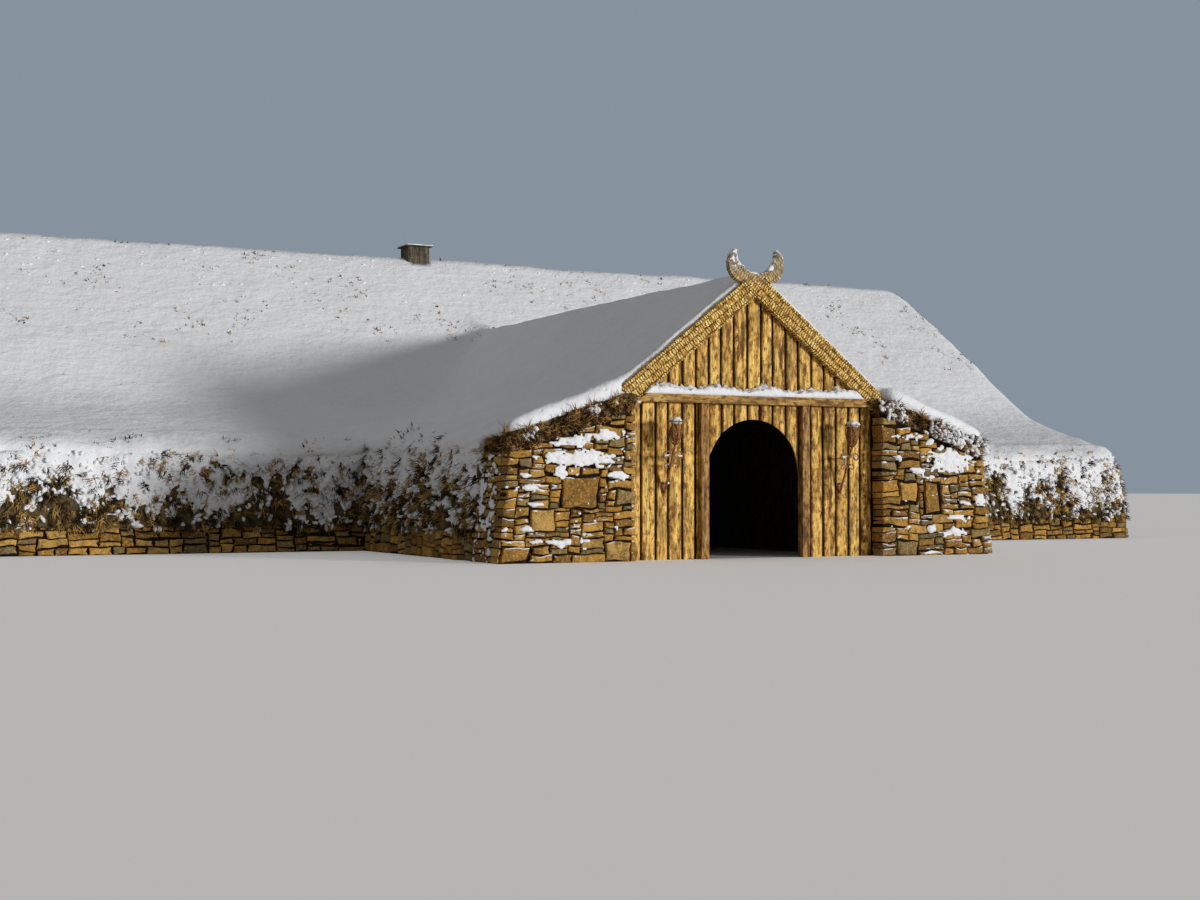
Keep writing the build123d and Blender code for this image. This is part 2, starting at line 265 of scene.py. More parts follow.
# %% Helpers that build a finish
class Finish:
    """A material and the nodes that are being added to it."""

    def __init__(self, name, roughness, specular=0.3):
        self.material = bpy.data.materials.new(name)
        self.material.use_nodes = True
        self.tree = self.material.node_tree
        self.shader = self.tree.nodes["Principled BSDF"]
        self.shader.inputs["Roughness"].default_value = roughness
        self.shader.inputs["Specular IOR Level"].default_value = specular
        self.place = self.add("ShaderNodeTexCoord").outputs["Object"]
        print("finish", name)

    def add(self, kind, **links):
        node = self.tree.nodes.new(kind)
        for name, value in links.items():
            self.feed(node.inputs[name], value)
        return node

    def feed(self, socket, value):
        if isinstance(value, bpy.types.NodeSocket):
            self.tree.links.new(value, socket)
        else:
            socket.default_value = value

    def stretch(self, scale, place=None):
        node = self.add("ShaderNodeMapping", Vector=place or self.place, Scale=scale)
        return node.outputs["Vector"]

    def cloud(self, scale, detail=3.0, place=None, roughness=0.55):
        node = self.add("ShaderNodeTexNoise", Vector=place or self.place, Scale=scale, Detail=detail)
        node.inputs["Roughness"].default_value = roughness
        return node.outputs["Fac"]

    def cells(self, scale, place=None):
        return self.add("ShaderNodeTexVoronoi", Vector=place or self.place, Scale=scale).outputs["Distance"]

    def attribute(self, name, output):
        node = self.add("ShaderNodeAttribute")
        node.attribute_name = name
        return node.outputs[output]

    def tone(self):
        return self.attribute("tone", "Fac")

    def maths(self, kind, first, second=0.5):
        node = self.add("ShaderNodeMath")
        node.operation = kind
        self.feed(node.inputs[0], first)
        self.feed(node.inputs[1], second)
        return node.outputs[0]

    def moved(self, amount):
        """The place moved by a piece's own tone, so no two pieces share a pattern."""
        scaled = self.add("ShaderNodeVectorMath")
        scaled.operation = "SCALE"
        scaled.inputs[0].default_value = (37.0, 19.0, 53.0)
        self.feed(scaled.inputs["Scale"], amount)
        total = self.add("ShaderNodeVectorMath")
        total.operation = "ADD"
        self.feed(total.inputs[0], self.place)
        self.feed(total.inputs[1], scaled.outputs[0])
        return total.outputs[0]

    def ramp(self, value, *stops):
        node = self.add("ShaderNodeValToRGB", Fac=value)
        marks = node.color_ramp.elements
        while len(marks) < len(stops):
            marks.new(0.5)
        for mark, (at, colour) in zip(marks, stops):
            mark.position = at
            mark.color = (*colour, 1.0) if isinstance(colour, tuple) else (colour, colour, colour, 1.0)
        return node.outputs["Color"]

    def mix(self, share, first, second):
        node = self.add("ShaderNodeMix")
        node.data_type = "RGBA"
        self.feed(node.inputs[0], share)
        for socket, value in ((node.inputs[6], first), (node.inputs[7], second)):
            self.feed(socket, (*value, 1.0) if isinstance(value, tuple) else value)
        return node.outputs[2]

    def colour(self, value):
        self.feed(self.shader.inputs["Base Color"], value)

    def raise_by(self, height, distance, strength=1.0):
        """Adds a bump, on top of any bump that is there already."""
        node = self.add("ShaderNodeBump", Height=height, Distance=distance, Strength=strength)
        normal = self.shader.inputs["Normal"]
        if normal.is_linked:
            self.feed(node.inputs["Normal"], normal.links[0].from_socket)
        self.feed(normal, node.outputs["Normal"])


# %% [markdown]
# Snow is nearly white. Its colour carries painted shade, a little darker and bluer in patches of a slow
# noise, for blue shade in hollows. It also carries a painted highlight, whiter where the crust's bump is
# raised.
# It is matt, with a wind crust of soft waves and a fine crystal grain.

# %% Finish of the snow
def snow_finish():
    look = Finish("snow", 0.6, 0.35)
    blue_shade_patches = look.cloud(0.9, 4.0)
    grain = look.cloud(26.0, 3.0)
    crust_and_highlight = look.cloud(5.0, 4.0)
    # Painted shade: the low end of these patches is darker and bluer, for blue shade in hollows.
    colour = look.ramp(blue_shade_patches, (0.3, (0.72, 0.73, 0.755)), (0.62, (0.77, 0.77, 0.78)))
    # Painted highlight: whiter where the crust noise also raises the bump.
    look.colour(look.mix(look.ramp(crust_and_highlight, (0.35, 0.0), (0.75, 0.5)), colour, (0.81, 0.81, 0.815)))
    wind = look.cloud(1.7, 5.0, look.stretch((0.5, 1.0, 1.0)), 0.6)
    look.raise_by(wind, 0.12, 0.5)
    look.raise_by(crust_and_highlight, 0.045, 0.8)
    look.raise_by(look.ramp(look.cells(2.3), (0.03, 0.0), (0.1, 1.0)), 0.025, 0.6)
    look.raise_by(grain, 0.006, 0.7)
    return look.material


snow = snow_finish()

# %% [markdown]
# Turf is soil and roots, brown to olive where the sun dries it. Its colour also carries painted shade:
# it is nearly black where the clump noise is low, in the same hollows that its bump sinks. The grass that
# hangs from it is dead and dry, so each tuft
# takes one tone from dark brown through olive to straw, read from its attribute.

# %% Finishes of the turf and the grass
def turf_finish():
    look = Finish("turf", 0.95, 0.1)
    clump_and_shade = look.cloud(4.5, 4.0)
    root = look.cloud(30.0, 3.0, look.stretch((1.0, 1.0, 0.35)))
    hollow_shade, earth, dry = (0.022, 0.016, 0.010), (0.075, 0.052, 0.026), (0.13, 0.1, 0.045)
    # Painted shade: nearly black at the low end of the clump noise, the hollows that the bump sinks.
    body = look.ramp(clump_and_shade, (0.32, hollow_shade), (0.6, earth), (0.8, dry))
    look.colour(look.mix(look.ramp(root, (0.4, 0.0), (0.7, 0.6)), body, (0.2, 0.145, 0.07)))
    look.raise_by(clump_and_shade, 0.05, 0.7)
    look.raise_by(root, 0.02, 0.8)
    return look.material


def grass_finish(name, dark, middle, light):
    look = Finish(name, 0.85, 0.15)
    shade = look.maths("ADD", look.tone(), look.maths("MULTIPLY", look.cloud(9.0, 2.0), 0.5))
    look.colour(look.ramp(shade, (0.25, dark), (0.75, middle), (1.25, light)))
    look.raise_by(look.cloud(60.0, 2.0), 0.002, 0.5)
    return look.material


# Near-black soil: the real soil of the cores behind the stones, and painted shade on the copy of the boards
# behind the planks.
def soil_and_shade_finish():
    look = Finish("packed_soil_and_shade", 1.0, 0.05)
    look.colour(look.ramp(look.cloud(12.0, 3.0), (0.35, (0.008, 0.005, 0.003)), (0.7, (0.03, 0.02, 0.011))))
    return look.material


turf = turf_finish()
soil_and_shade = soil_and_shade_finish()
grass = grass_finish("hanging_grass", (0.012, 0.008, 0.004), (0.085, 0.05, 0.016), (0.52, 0.32, 0.095))
heather = grass_finish("heather", (0.02, 0.009, 0.004), (0.11, 0.052, 0.016), (0.44, 0.25, 0.08))

# %% [markdown]
# The stone is a thin-splitting slab, ochre brown from iron with grey and olive
# ones between. Each stone has its own tone, a speckle of lichen and a split face.

# %% Finish of the stone
def stone_finish():
    look = Finish("stone", 0.9, 0.2)
    own = look.tone()
    place = look.moved(own)
    body = look.ramp(
        own,
        (0.0, (0.2, 0.1, 0.022)),
        (0.25, (0.44, 0.22, 0.038)),
        (0.5, (0.6, 0.31, 0.055)),
        (0.72, (0.74, 0.43, 0.11)),
        (0.82, (0.36, 0.24, 0.09)),
        (1.0, (0.2, 0.16, 0.08)),
    )
    stain = look.cloud(6.0, 6.0, place, 0.65)
    worn = look.mix(look.ramp(stain, (0.36, 0.7), (0.54, 0.0)), body, (0.13, 0.075, 0.026))
    lichen = look.cloud(24.0, 5.0, place, 0.65)
    spotted = look.mix(look.ramp(lichen, (0.52, 0.0), (0.68, 0.65)), worn, (0.75, 0.49, 0.18))
    pit = look.cloud(48.0, 4.0, place, 0.65)
    look.colour(look.mix(look.ramp(pit, (0.34, 0.5), (0.46, 0.0)), spotted, (0.07, 0.04, 0.015)))
    split = look.cloud(9.0, 7.0, look.stretch((1.0, 1.0, 2.4), place), 0.7)
    look.raise_by(split, 0.07, 0.9)
    look.raise_by(look.cloud(60.0, 4.0, place), 0.008, 0.8)
    return look.material


stone = stone_finish()

# %% [markdown]
# The old planks are golden brown, with grain that runs up them, dark streaks
# where water has run, and knots. The beam and the posts are the same wood, but
# smoother and browner. Grain is noise that is stretched along the timber.

# %% Finishes of the timber
def wood_finish(name, along, dark, middle, light, weather):
    """Wood whose grain runs along an axis; weather is the share of dark streaks."""
    look = Finish(name, 0.72, 0.25)
    own = look.tone()
    place = look.moved(own)

    def on_grain(lengthwise, across=1.0):
        return look.stretch([lengthwise if axis == along else across for axis in range(3)], place)

    def darker(share):
        return tuple(share * value for value in dark)

    grain = look.cloud(75.0, 4.0, on_grain(0.06), 0.6)
    figure = look.cloud(14.0, 3.0, on_grain(0.12))
    body = look.ramp(figure, (0.36, dark), (0.46, middle), (0.6, light))
    body = look.mix(look.ramp(own, (0.0, 0.35), (0.4, 0.0)), body, dark)
    body = look.mix(look.ramp(own, (0.5, 0.0), (1.0, 0.4)), body, light)
    blotch = look.cloud(16.0, 5.0, on_grain(0.45), 0.7)
    body = look.mix(look.ramp(blotch, (0.38, 0.85), (0.5, 0.0)), body, darker(0.4))
    body = look.mix(look.ramp(blotch, (0.52, 0.0), (0.62, 0.75)), body, light)
    streak = look.cloud(9.0, 5.0, on_grain(0.12), 0.7)
    body = look.mix(look.ramp(streak, (0.4, weather), (0.5, 0.0)), body, darker(0.3))
    knot = look.cells(4.2, on_grain(0.5, 1.3))
    body = look.mix(look.ramp(knot, (0.06, 0.5), (0.15, 0.0)), body, darker(0.22))
    look.colour(look.mix(look.ramp(grain, (0.36, 0.7), (0.48, 0.0)), body, darker(0.4)))
    look.raise_by(figure, 0.018, 0.8)
    look.raise_by(grain, 0.006, 0.8)
    return look.material


golden = ((0.2, 0.078, 0.01), (0.56, 0.265, 0.034), (0.97, 0.62, 0.16))
brown = ((0.15, 0.065, 0.014), (0.32, 0.15, 0.034), (0.5, 0.28, 0.085))
beam_brown = ((0.2, 0.09, 0.018), (0.4, 0.2, 0.045), (0.58, 0.35, 0.1))
old = ((0.035, 0.025, 0.016), (0.075, 0.052, 0.032), (0.12, 0.088, 0.055))
planks_wood = wood_finish("planks_wood", 2, *golden, weather=0.55)
post_wood = wood_finish("post_wood", 2, *brown, weather=0.3)
beam_wood = wood_finish("beam_wood", 0, *beam_brown, weather=0.35)
inner_wood = wood_finish("inner_wood", 1, *old, weather=0.5)
inner_wood_long = wood_finish("inner_wood_long", 0, *old, weather=0.5)
inner_wood_up = wood_finish("inner_wood_up", 2, *old, weather=0.5)
silver = ((0.03, 0.025, 0.016), (0.075, 0.062, 0.038), (0.15, 0.125, 0.08))
vent_wood = wood_finish("vent_wood", 2, *silver, weather=0.4)

# %% [markdown]
# The gable boards were dressed with an adze, which leaves short scoops across the
# board. The grooves between the scoops are sunk by the bump and painted near black,
# as painted shade in them. The pattern follows the board, so it reads the places
# along and across it that the mesh brings. The boards are golden like the planks
# and turn grey towards the horns, where the weather reaches them most.

# %% Finish of the hewn boards
adze_row = 0.118
grey_from = 4.55


def hewn_finish():
    look = Finish("hewn_wood", 0.75, 0.25)
    where = look.add("ShaderNodeSeparateXYZ", Vector=look.place).outputs["Z"]
    wander = look.add("ShaderNodeVectorMath")
    wander.operation = "MULTIPLY_ADD"
    shake = look.add("ShaderNodeTexNoise", Vector=look.place, Scale=8.0, Detail=6.0, Roughness=0.7)
    look.feed(wander.inputs[0], shake.outputs["Color"])
    wander.inputs[1].default_value = (0.12, 0.1, 0.0)
    look.feed(wander.inputs[2], look.attribute("board", "Vector"))
    marks = look.add("ShaderNodeTexBrick", Vector=wander.outputs[0])
    pattern = {"Scale": 1.0, "Brick Width": 0.05, "Row Height": adze_row, "Mortar Size": 0.012,
               "Mortar Smooth": 0.6}
    for socket, value in pattern.items():
        marks.inputs[socket].default_value = value
    marks.offset = 0.4
    cut = marks.outputs["Fac"]
    tone = look.cloud(11.0, 5.0)
    dark, middle, light = (0.27, 0.125, 0.018), (0.8, 0.45, 0.085), (1.0, 0.76, 0.27)
    body = look.ramp(tone, (0.34, dark), (0.48, middle), (0.62, light))
    fade = look.ramp(look.cloud(13.0, 4.0), (0.34, 0.5), (0.5, 1.0))
    # Painted shade: where cut marks the grooves of the brick pattern, the colour goes near black.
    body = look.mix(look.maths("MULTIPLY", cut, fade), body, (0.04, 0.017, 0.003))
    fleck = look.cloud(70.0, 4.0)
    body = look.mix(look.ramp(fleck, (0.38, 0.8), (0.48, 0.0)), body, (0.1, 0.045, 0.008))
    height = look.maths("MULTIPLY", look.maths("SUBTRACT", where, grey_from), 1.6)
    patch = look.ramp(look.cloud(12.0, 4.0), (0.35, 0.0), (0.65, 1.0))
    grey = look.mix(patch, (0.15, 0.125, 0.085), (0.4, 0.345, 0.26))
    look.colour(look.mix(look.ramp(height, (0.1, 0.0), (0.55, 0.75)), body, grey))
    look.raise_by(look.maths("SUBTRACT", 1.0, cut), 0.008, 0.9)
    look.raise_by(look.cloud(60.0, 3.0), 0.004, 0.6)
    return look.material


hewn_wood = hewn_finish()

# %% [markdown]
# The torches are forged iron under a brown rust, darker where it is handled.

# %% Finish of the iron
def iron_finish():
    look = Finish("rusted_iron", 0.7, 0.4)
    flake = look.cloud(38.0, 5.0, roughness=0.65)
    black, brown_rust, orange = (0.07, 0.028, 0.01), (0.27, 0.115, 0.032), (0.52, 0.25, 0.075)
    look.colour(look.ramp(flake, (0.3, black), (0.5, brown_rust), (0.7, orange)))
    look.shader.inputs["Metallic"].default_value = 0.35
    look.raise_by(flake, 0.003, 0.8)
    return look.material


iron = iron_finish()

# %% [markdown]
# Lying snow is one sheet with a bare side and a snow side. A flat grid is cut to
# the outline it covers and extruded once. The lower copy drops on what carries
# it, the upper copy rises to the snow's surface, and the walls between them are
# divided and pushed out in a round lip, as snow settles over an edge.

# %% A helper that lays snow on a shape
def lay_snow(low, high, cell, inside, under, top, lip, droop, keys_x=(), keys_y=(), spread=None):
    """A closed sheet of snow over the faces of a grid for which inside(x, y) holds."""
    bm = bmesh.new()
    cuts = [max(2, round((high[axis] - low[axis]) / cell)) for axis in (0, 1)]
    bmesh.ops.create_grid(bm, x_segments=cuts[0], y_segments=cuts[1], size=0.5)
    for vert in bm.verts:
        for axis, keys in ((0, keys_x), (1, keys_y)):
            value = low[axis] + (vert.co[axis] + 0.5) * (high[axis] - low[axis])
            near = [key for key in keys if abs(key - value) <= 0.51 * cell]
            vert.co[axis] = near[0] if near else value
    drop_faces(bm, lambda face: not inside(*face.calc_center_median().xy))
    if spread:
        for vert in bm.verts:
            vert.co.xy = spread(*vert.co.xy)
    away = bm.verts.layers.float_vector.new("away")
    side = bm.verts.layers.float.new("side")
    for edge in bm.edges:
        if edge.is_boundary:
            outward = (edge.verts[0].co + edge.verts[1].co) / 2 - edge.link_faces[0].calc_center_median()
            for vert in edge.verts:
                vert[away] = vert[away] + Vector((outward.x, outward.y, 0.0)).normalized()
    made = bmesh.ops.extrude_face_region(bm, geom=bm.faces[:])["geom"]
    upper = set(points_of(made))
    walls = [edge for edge in bm.edges if (edge.verts[0] in upper) != (edge.verts[1] in upper)]
    for vert in bm.verts:
        x, y = vert.co.xy
        if vert in upper:
            vert.co.z = top(x, y)
            vert[side] = 1.0
        else:
            vert.co.z = under(x, y)
            if vert[away].length > 0:
                vert.co.z -= droop(x, y)
    cut = bmesh.ops.subdivide_edges(bm, edges=walls, cuts=3, use_grid_fill=True)["geom_inner"]
    for vert in set(points_of(cut)):
        push = vert[away].normalized() if vert[away].length > 0.1 else Vector()
        vert.co += push * lip(vert.co.x, vert.co.y) * math.sin(math.pi * min(vert[side], 1.0)) ** 0.7
    below = [vert for vert in bm.verts if vert[side] == 0 and vert[away].length == 0]
    inner = set(below)
    between = [edge for edge in bm.edges if edge.verts[0] in inner or edge.verts[1] in inner]
    bmesh.ops.dissolve_limit(bm, angle_limit=0.03, verts=below, edges=between)
    face_outwards(bm)
    return bm


# %% [markdown]
# The roof carries one such sheet, from the wing caps and the porch gable over
# the valley and the ridge to the far eave. Where porch and hall meet, a smooth
# maximum of the two heights fills the valley as drifting snow does. The rows are
# drawn in towards the hall's ends, which lean, and at its rounded corners.

# %% Snow on the roofs
def smooth_larger(first, second, blend):
    """The larger of two heights, rounded where they are within a blend of each other."""
    near = max(blend - abs(first - second), 0.0) / blend
    return max(first, second) + near * near * blend / 4


def bare_roof(x, y):
    """Height of the turf under the snow, on the hall or on the porch."""
    height = hall_top(y)
    if y < hall_ridge_y:
        return max(height, porch_top(x))
    return height


def from_eave(y):
    """How far in from the hall's eave a depth is, on either side of the ridge."""
    return hall_half_depth - batter * hall_eave_height - abs(y - hall_ridge_y)


def row_end(y):
    """Half the roof's length at a depth, with the rounded corners."""
    end = hall_half_length - batter * hall_top(y)
    if from_eave(y) < corner_radius:
        short = corner_radius - max(from_eave(y), 0)
        end -= corner_radius - math.sqrt(max(corner_radius ** 2 - short ** 2, 0))
    return end


roof_snow_depth = 0.12
still = 5.0
eave_y = hall_front_y + batter * hall_eave_height
far_eave_y = 2 * hall_ridge_y - eave_y
roof_end = hall_half_length - batter * hall_eave_height


def shoulder(x, y):
    """How much lower the snow is near the roof's edges, where it rounds over."""
    def edge(distance, reach, drop):
        return drop * max(0.0, 1.0 - max(distance, 0.0) / reach) ** 2
    if y < eave_y:
        on_wing = edge(y - wing_front_y, 0.9, 0.09) if abs(x) > porch_crease else 0.0
        return edge(porch_eave_width - abs(x), 0.5, 0.07) - on_wing
    beside_porch = min(1.0, max(0.0, (abs(x) - 4.3) / 0.8)) if y < hall_ridge_y else 1.0
    return beside_porch * edge(from_eave(y), 0.8, 0.1) + edge(row_end(y) - abs(x), 0.45, 0.06)


def snowy_roof(x, y):
    """Height of the snow's surface on the roofs."""
    away = y - hall_ridge_y
    ridge = hall_ridge_height + hall_slope * (0.12 - math.hypot(away, 0.12))
    shelf = hall_crease_height - hall_eave_slope * (abs(away) - crease_from_ridge)
    height = smooth_larger(ridge, shelf, 0.35)
    depth = roof_snow_depth + 0.045 * ripple((x, y, 0), 2.6)
    depth = depth + 0.022 * ripple((x, y, 3), 0.8) + 0.01 * ripple((x, y, 5), 0.3)
    depth -= shoulder(x, y)
    if y < hall_ridge_y:
        steep = porch_ridge_height + porch_slope * (0.08 - math.hypot(x, 0.08))
        flat = porch_crease_height - porch_shelf_slope * (abs(x) - porch_crease)
        height = smooth_larger(height, smooth_larger(steep, flat, 0.3), 0.5)
        near_gable = max(0.0, 1.0 - max(0.0, y - planks_y) / 0.9)
        away_from_peak = min(1.0, abs(x) / 0.7)
        depth += (0.03 * away_from_peak - 0.04) * near_gable if abs(x) < porch_crease else 0.05 * near_gable
    return height + depth


vent_middle = (-0.7, hall_ridge_y)
vent_half = 0.27


def from_vent(x, y):
    return math.hypot(x - vent_middle[0], y - vent_middle[1])


def roof_inside(x, y):
    if abs(x - vent_middle[0]) < vent_half and abs(y - vent_middle[1]) < vent_half:
        return False
    if y > eave_y:
        return True
    if y < planks_y - 0.03:
        return porch_crease < abs(x) < porch_eave_width
    return abs(x) < porch_eave_width


def roof_spread(x, y):
    """Draws a grid point beside the porch in or out, so that its row ends at the roof's edge."""
    reach = row_end(max(y, eave_y))
    if abs(x) > still and y >= eave_y:
        x = math.copysign(still + (abs(x) - still) * (reach - still) / (roof_end - still), x)
    return x, y


def roof_droop(x, y):
    if y < planks_y + 0.1 and abs(x) < porch_crease:
        return 0.04
    if from_vent(x, y) < 0.6:
        return 0.05
    ragged = 0.45 + 0.9 * ripple((x, y, 9), 0.7) + 0.7 * ripple((x, y, 2), 0.25)
    if abs(x) > roof_end - 1.2 and abs(y - hall_ridge_y) < hall_half_depth - 1.0:
        return 0.16 + 0.4 * max(0.0, ragged)
    if y < planks_y + 0.7:
        return 0.01 + 0.06 * max(0.0, ragged)
    return 0.08 + 0.34 * max(0.0, ragged)


def roof_lip(x, y):
    if from_vent(x, y) < 0.6:
        return 0.0
    if y < planks_y + 0.2:
        return 0.02 + 0.05 * ripple((x, y, 4), 0.3)
    return max(0.05, 0.15 + 0.1 * ripple((x, y, 4), 0.4))


def soften(bm, near, lumpy, rounds):
    """Rounds the snow over where near(point) holds and makes it lumpy where lumpy(point) is high."""
    soft = [vert for vert in bm.verts if near(vert.co)]
    smooth(bm, soft, rounds)
    bm.normal_update()
    for vert in soft:
        swell = 0.05 + 0.06 * ripple(vert.co, 0.5, 4) + 0.035 * ripple(vert.co, 0.22, 8)
        vert.co += vert.normal * lumpy(vert.co) * swell
    keep_in_plan(soft)


def near_eave(at):
    if at.y < eave_y - 0.2:
        return abs(at.x) > porch_eave_width - 0.6 and at.y > wing_back_y
    in_valley = abs(at.x) < porch_eave_width + 0.3 and at.y < hall_ridge_y
    return from_eave(at.y) < 0.75 and not in_valley


def near_edge(at):
    on_wing = at.y < wing_back_y and abs(at.x) > porch_crease - 0.2
    return near_eave(at) or on_wing or (at.y > eave_y and row_end(at.y) - abs(at.x) < 0.3)


def edge_lumps(at):
    return 1.0 if near_eave(at) else 0.3


roof_snow = lay_snow(
    (-roof_end, wing_front_y), (roof_end, far_eave_y), 0.125, roof_inside,
    lambda x, y: bare_roof(x, y) - 0.03, snowy_roof, roof_lip, roof_droop,
    keys_x=(-porch_eave_width, -porch_crease, porch_crease, porch_eave_width,
            vent_middle[0] - vent_half, vent_middle[0] + vent_half),
    keys_y=(planks_y - 0.03, eave_y, hall_ridge_y - vent_half, hall_ridge_y,
            hall_ridge_y + vent_half),
    spread=roof_spread,
)
soften(roof_snow, near_edge, edge_lumps, 9)
roof_piece = show("roof_snow", roof_snow, snow)

# %% [markdown]
# The turf of the walls and eaves is made from the CAD solids themselves. A copy
# is turned into an even net, the faces that show are pushed out in lumps, and
# the hidden ones are dissolved to a few large faces, which keeps the count low.
# Right under the roof's snow the turf is drawn in, so that the snow hangs over.

# %% Turf of the walls
skin_depth = 0.16


def lump(point):
    return 0.04 + 0.045 * ripple(point, 0.4) + 0.025 * ripple(point, 0.15)


def under_lip(at):
    """0 on the wall and 1 at its top, where the roof's snow hangs over."""
    top = porch_top(at.x) if at.y < hall_front_y else hall_top(at.y)
    return max(0.0, min(1.0, 1.0 - (top - at.z) / 0.14))


def turf_body(name, nodes, size):
    bm = voxel_mesh(cad_copy(*nodes), size)
    bm.normal_update()
    hidden = {vert for vert in bm.verts if wall_gap(vert.co) > skin_depth}
    moves = {}
    for vert in bm.verts:
        if vert not in hidden:
            tucked = under_lip(vert.co)
            moves[vert] = vert.normal * (lump(vert.co) * (1.0 - tucked) - 0.06 * tucked)
    for vert, move in moves.items():
        vert.co += Vector((move.x, move.y, 0.0))
    keep_in_plan(moves)
    edges = [edge for edge in bm.edges if edge.verts[0] in hidden and edge.verts[1] in hidden]
    still = [
        vert for vert in bm.verts
        if vert in hidden and all(edge.other_vert(vert) in hidden for edge in vert.link_edges)
    ]
    bmesh.ops.dissolve_limit(bm, angle_limit=math.radians(6), verts=still, edges=edges)
    return show(name, bm, turf, nodes)


front_parts = ("hall_front_wall", "hall_eave_front", "porch_wall", "porch_eave")
front_nodes = [f"{part}_{hand}" for part in front_parts for hand in ("left", "right")]
wall_bodies = {
    "front": turf_body("turf_front_walls", front_nodes, 0.085),
    "back": turf_body("turf_back_wall", ["hall_back_wall", "hall_eave_back"], 0.11),
    "left": turf_body("turf_end_left", ["hall_end_wall_left"], 0.11),
    "right": turf_body("turf_end_right", ["hall_end_wall_right"], 0.11),
}

# %% [markdown]
# Snow clings to the turf in ragged patches, nearly whole under the eave and thin
# at the foot. A copy of the wall's outer faces is pushed out where a noise is
# high and in where it is low, and the parts that stay inside the turf are left
# out, so every patch has a soft edge of its own. There is more of it at the
# right end, at the far left and on the porch, as in the photograph.

# %% Snow on the walls
def clinging(point):
    """Above 0 where snow clings to a wall, more so towards the top."""
    rise = point.z - 1.25
    if abs(point.x) > hall_half_length - 2.0 and abs(point.y - hall_ridge_y) < hall_half_depth - 1.0:
        rise = min(point.z - hall_top(point.y) + 0.75, 0.7)
    at = (point.x, point.y, 0.75 * point.z)
    whiter = 0.08
    if point.y < hall_ridge_y:
        whiter += 0.12 * (point.x > porch_half_width) + 0.17 * (point.x < -9.0)
        whiter += 0.08 * (point.y < hall_front_y - 0.5)
    patchy = 0.55 * ripple(at, 0.6, 7) + 0.5 * ripple(at, 0.22, 3) + 0.5 * ripple(at, 0.1, 5)
    return patchy + 0.55 * rise + whiter


def outer_faces(piece, likely=None, seed=0):
    """A bmesh with only the faces of a wall that show, thinned by a chance at each point."""
    bm = copy_of(piece)

    def is_inside(face):
        deep = wall_gap(face.calc_center_median()) >= skin_depth
        return deep or face.normal.z >= 0.7 or len(face.verts) > 4

    drop_faces(bm, is_inside)
    if likely:
        draw = random.Random(seed)
        drop_faces(bm, lambda face: draw.random() > likely(face.calc_center_median()))
    return bm


def wall_snow(name, piece):
    bm = outer_faces(piece)
    share = {vert: clinging(vert.co) for vert in bm.verts}
    drop_faces(bm, lambda face: max(share[vert] for vert in face.verts) < 0.0)
    bm.normal_update()
    for vert in bm.verts:
        thick = 0.12 * max(-0.35, min(share[vert], 0.5)) + 0.012 * ripple(vert.co, 0.07)
        tucked = under_lip(vert.co)
        vert.co += vert.normal * (thick * (1.0 - tucked) + 0.01 * tucked)
    bmesh.ops.solidify(bm, geom=bm.faces[:], thickness=0.03)
    face_outwards(bm)
    keep_in_plan(bm.verts)
    show(name, bm, snow)


for where, body in wall_bodies.items():
    wall_snow(f"wall_snow_{where}", body)

# %% [markdown]
# Dry grass hangs over the turf in tufts. One tuft is a handful of closed spikes.
# Geometry Nodes spreads it over the walls' outer faces, turns each copy to hang
# outwards and down, gives it a tone of its own, and the result is made real so
# that it is a plain mesh in the model.

# %% A helper that scatters one small shape over a surface
def tuft(spikes, length, width, open_angle, seed):
    """A handful of closed spikes that open out from one foot."""
    draw = random.Random(seed)
    bm = bmesh.new()
    for _ in range(spikes):
        tall = length * draw.uniform(0.55, 1.0)
        spike = bmesh.ops.create_cone(
            bm, cap_ends=True, segments=3, radius1=width * draw.uniform(0.7, 1.2), radius2=0.0, depth=tall
        )["verts"]
        bmesh.ops.translate(bm, verts=spike, vec=(0, 0, tall / 2 - 0.02))
        tip = max(spike, key=lambda vert: vert.co.z)
        tip.co.x += draw.uniform(-0.2, 0.2) * tall
        turn = Matrix.Rotation(draw.uniform(0, 2 * math.pi), 3, "Z")
        tilt = turn @ Matrix.Rotation(open_angle * draw.uniform(0.1, 1.0), 3, "X")
        bmesh.ops.rotate(bm, verts=spike, cent=(0, 0, 0), matrix=tilt)
        shift = (draw.uniform(-0.05, 0.05), draw.uniform(-0.05, 0.05), 0)
        bmesh.ops.translate(bm, verts=spike, vec=shift)
    return mesh_of(bm, "tuft")


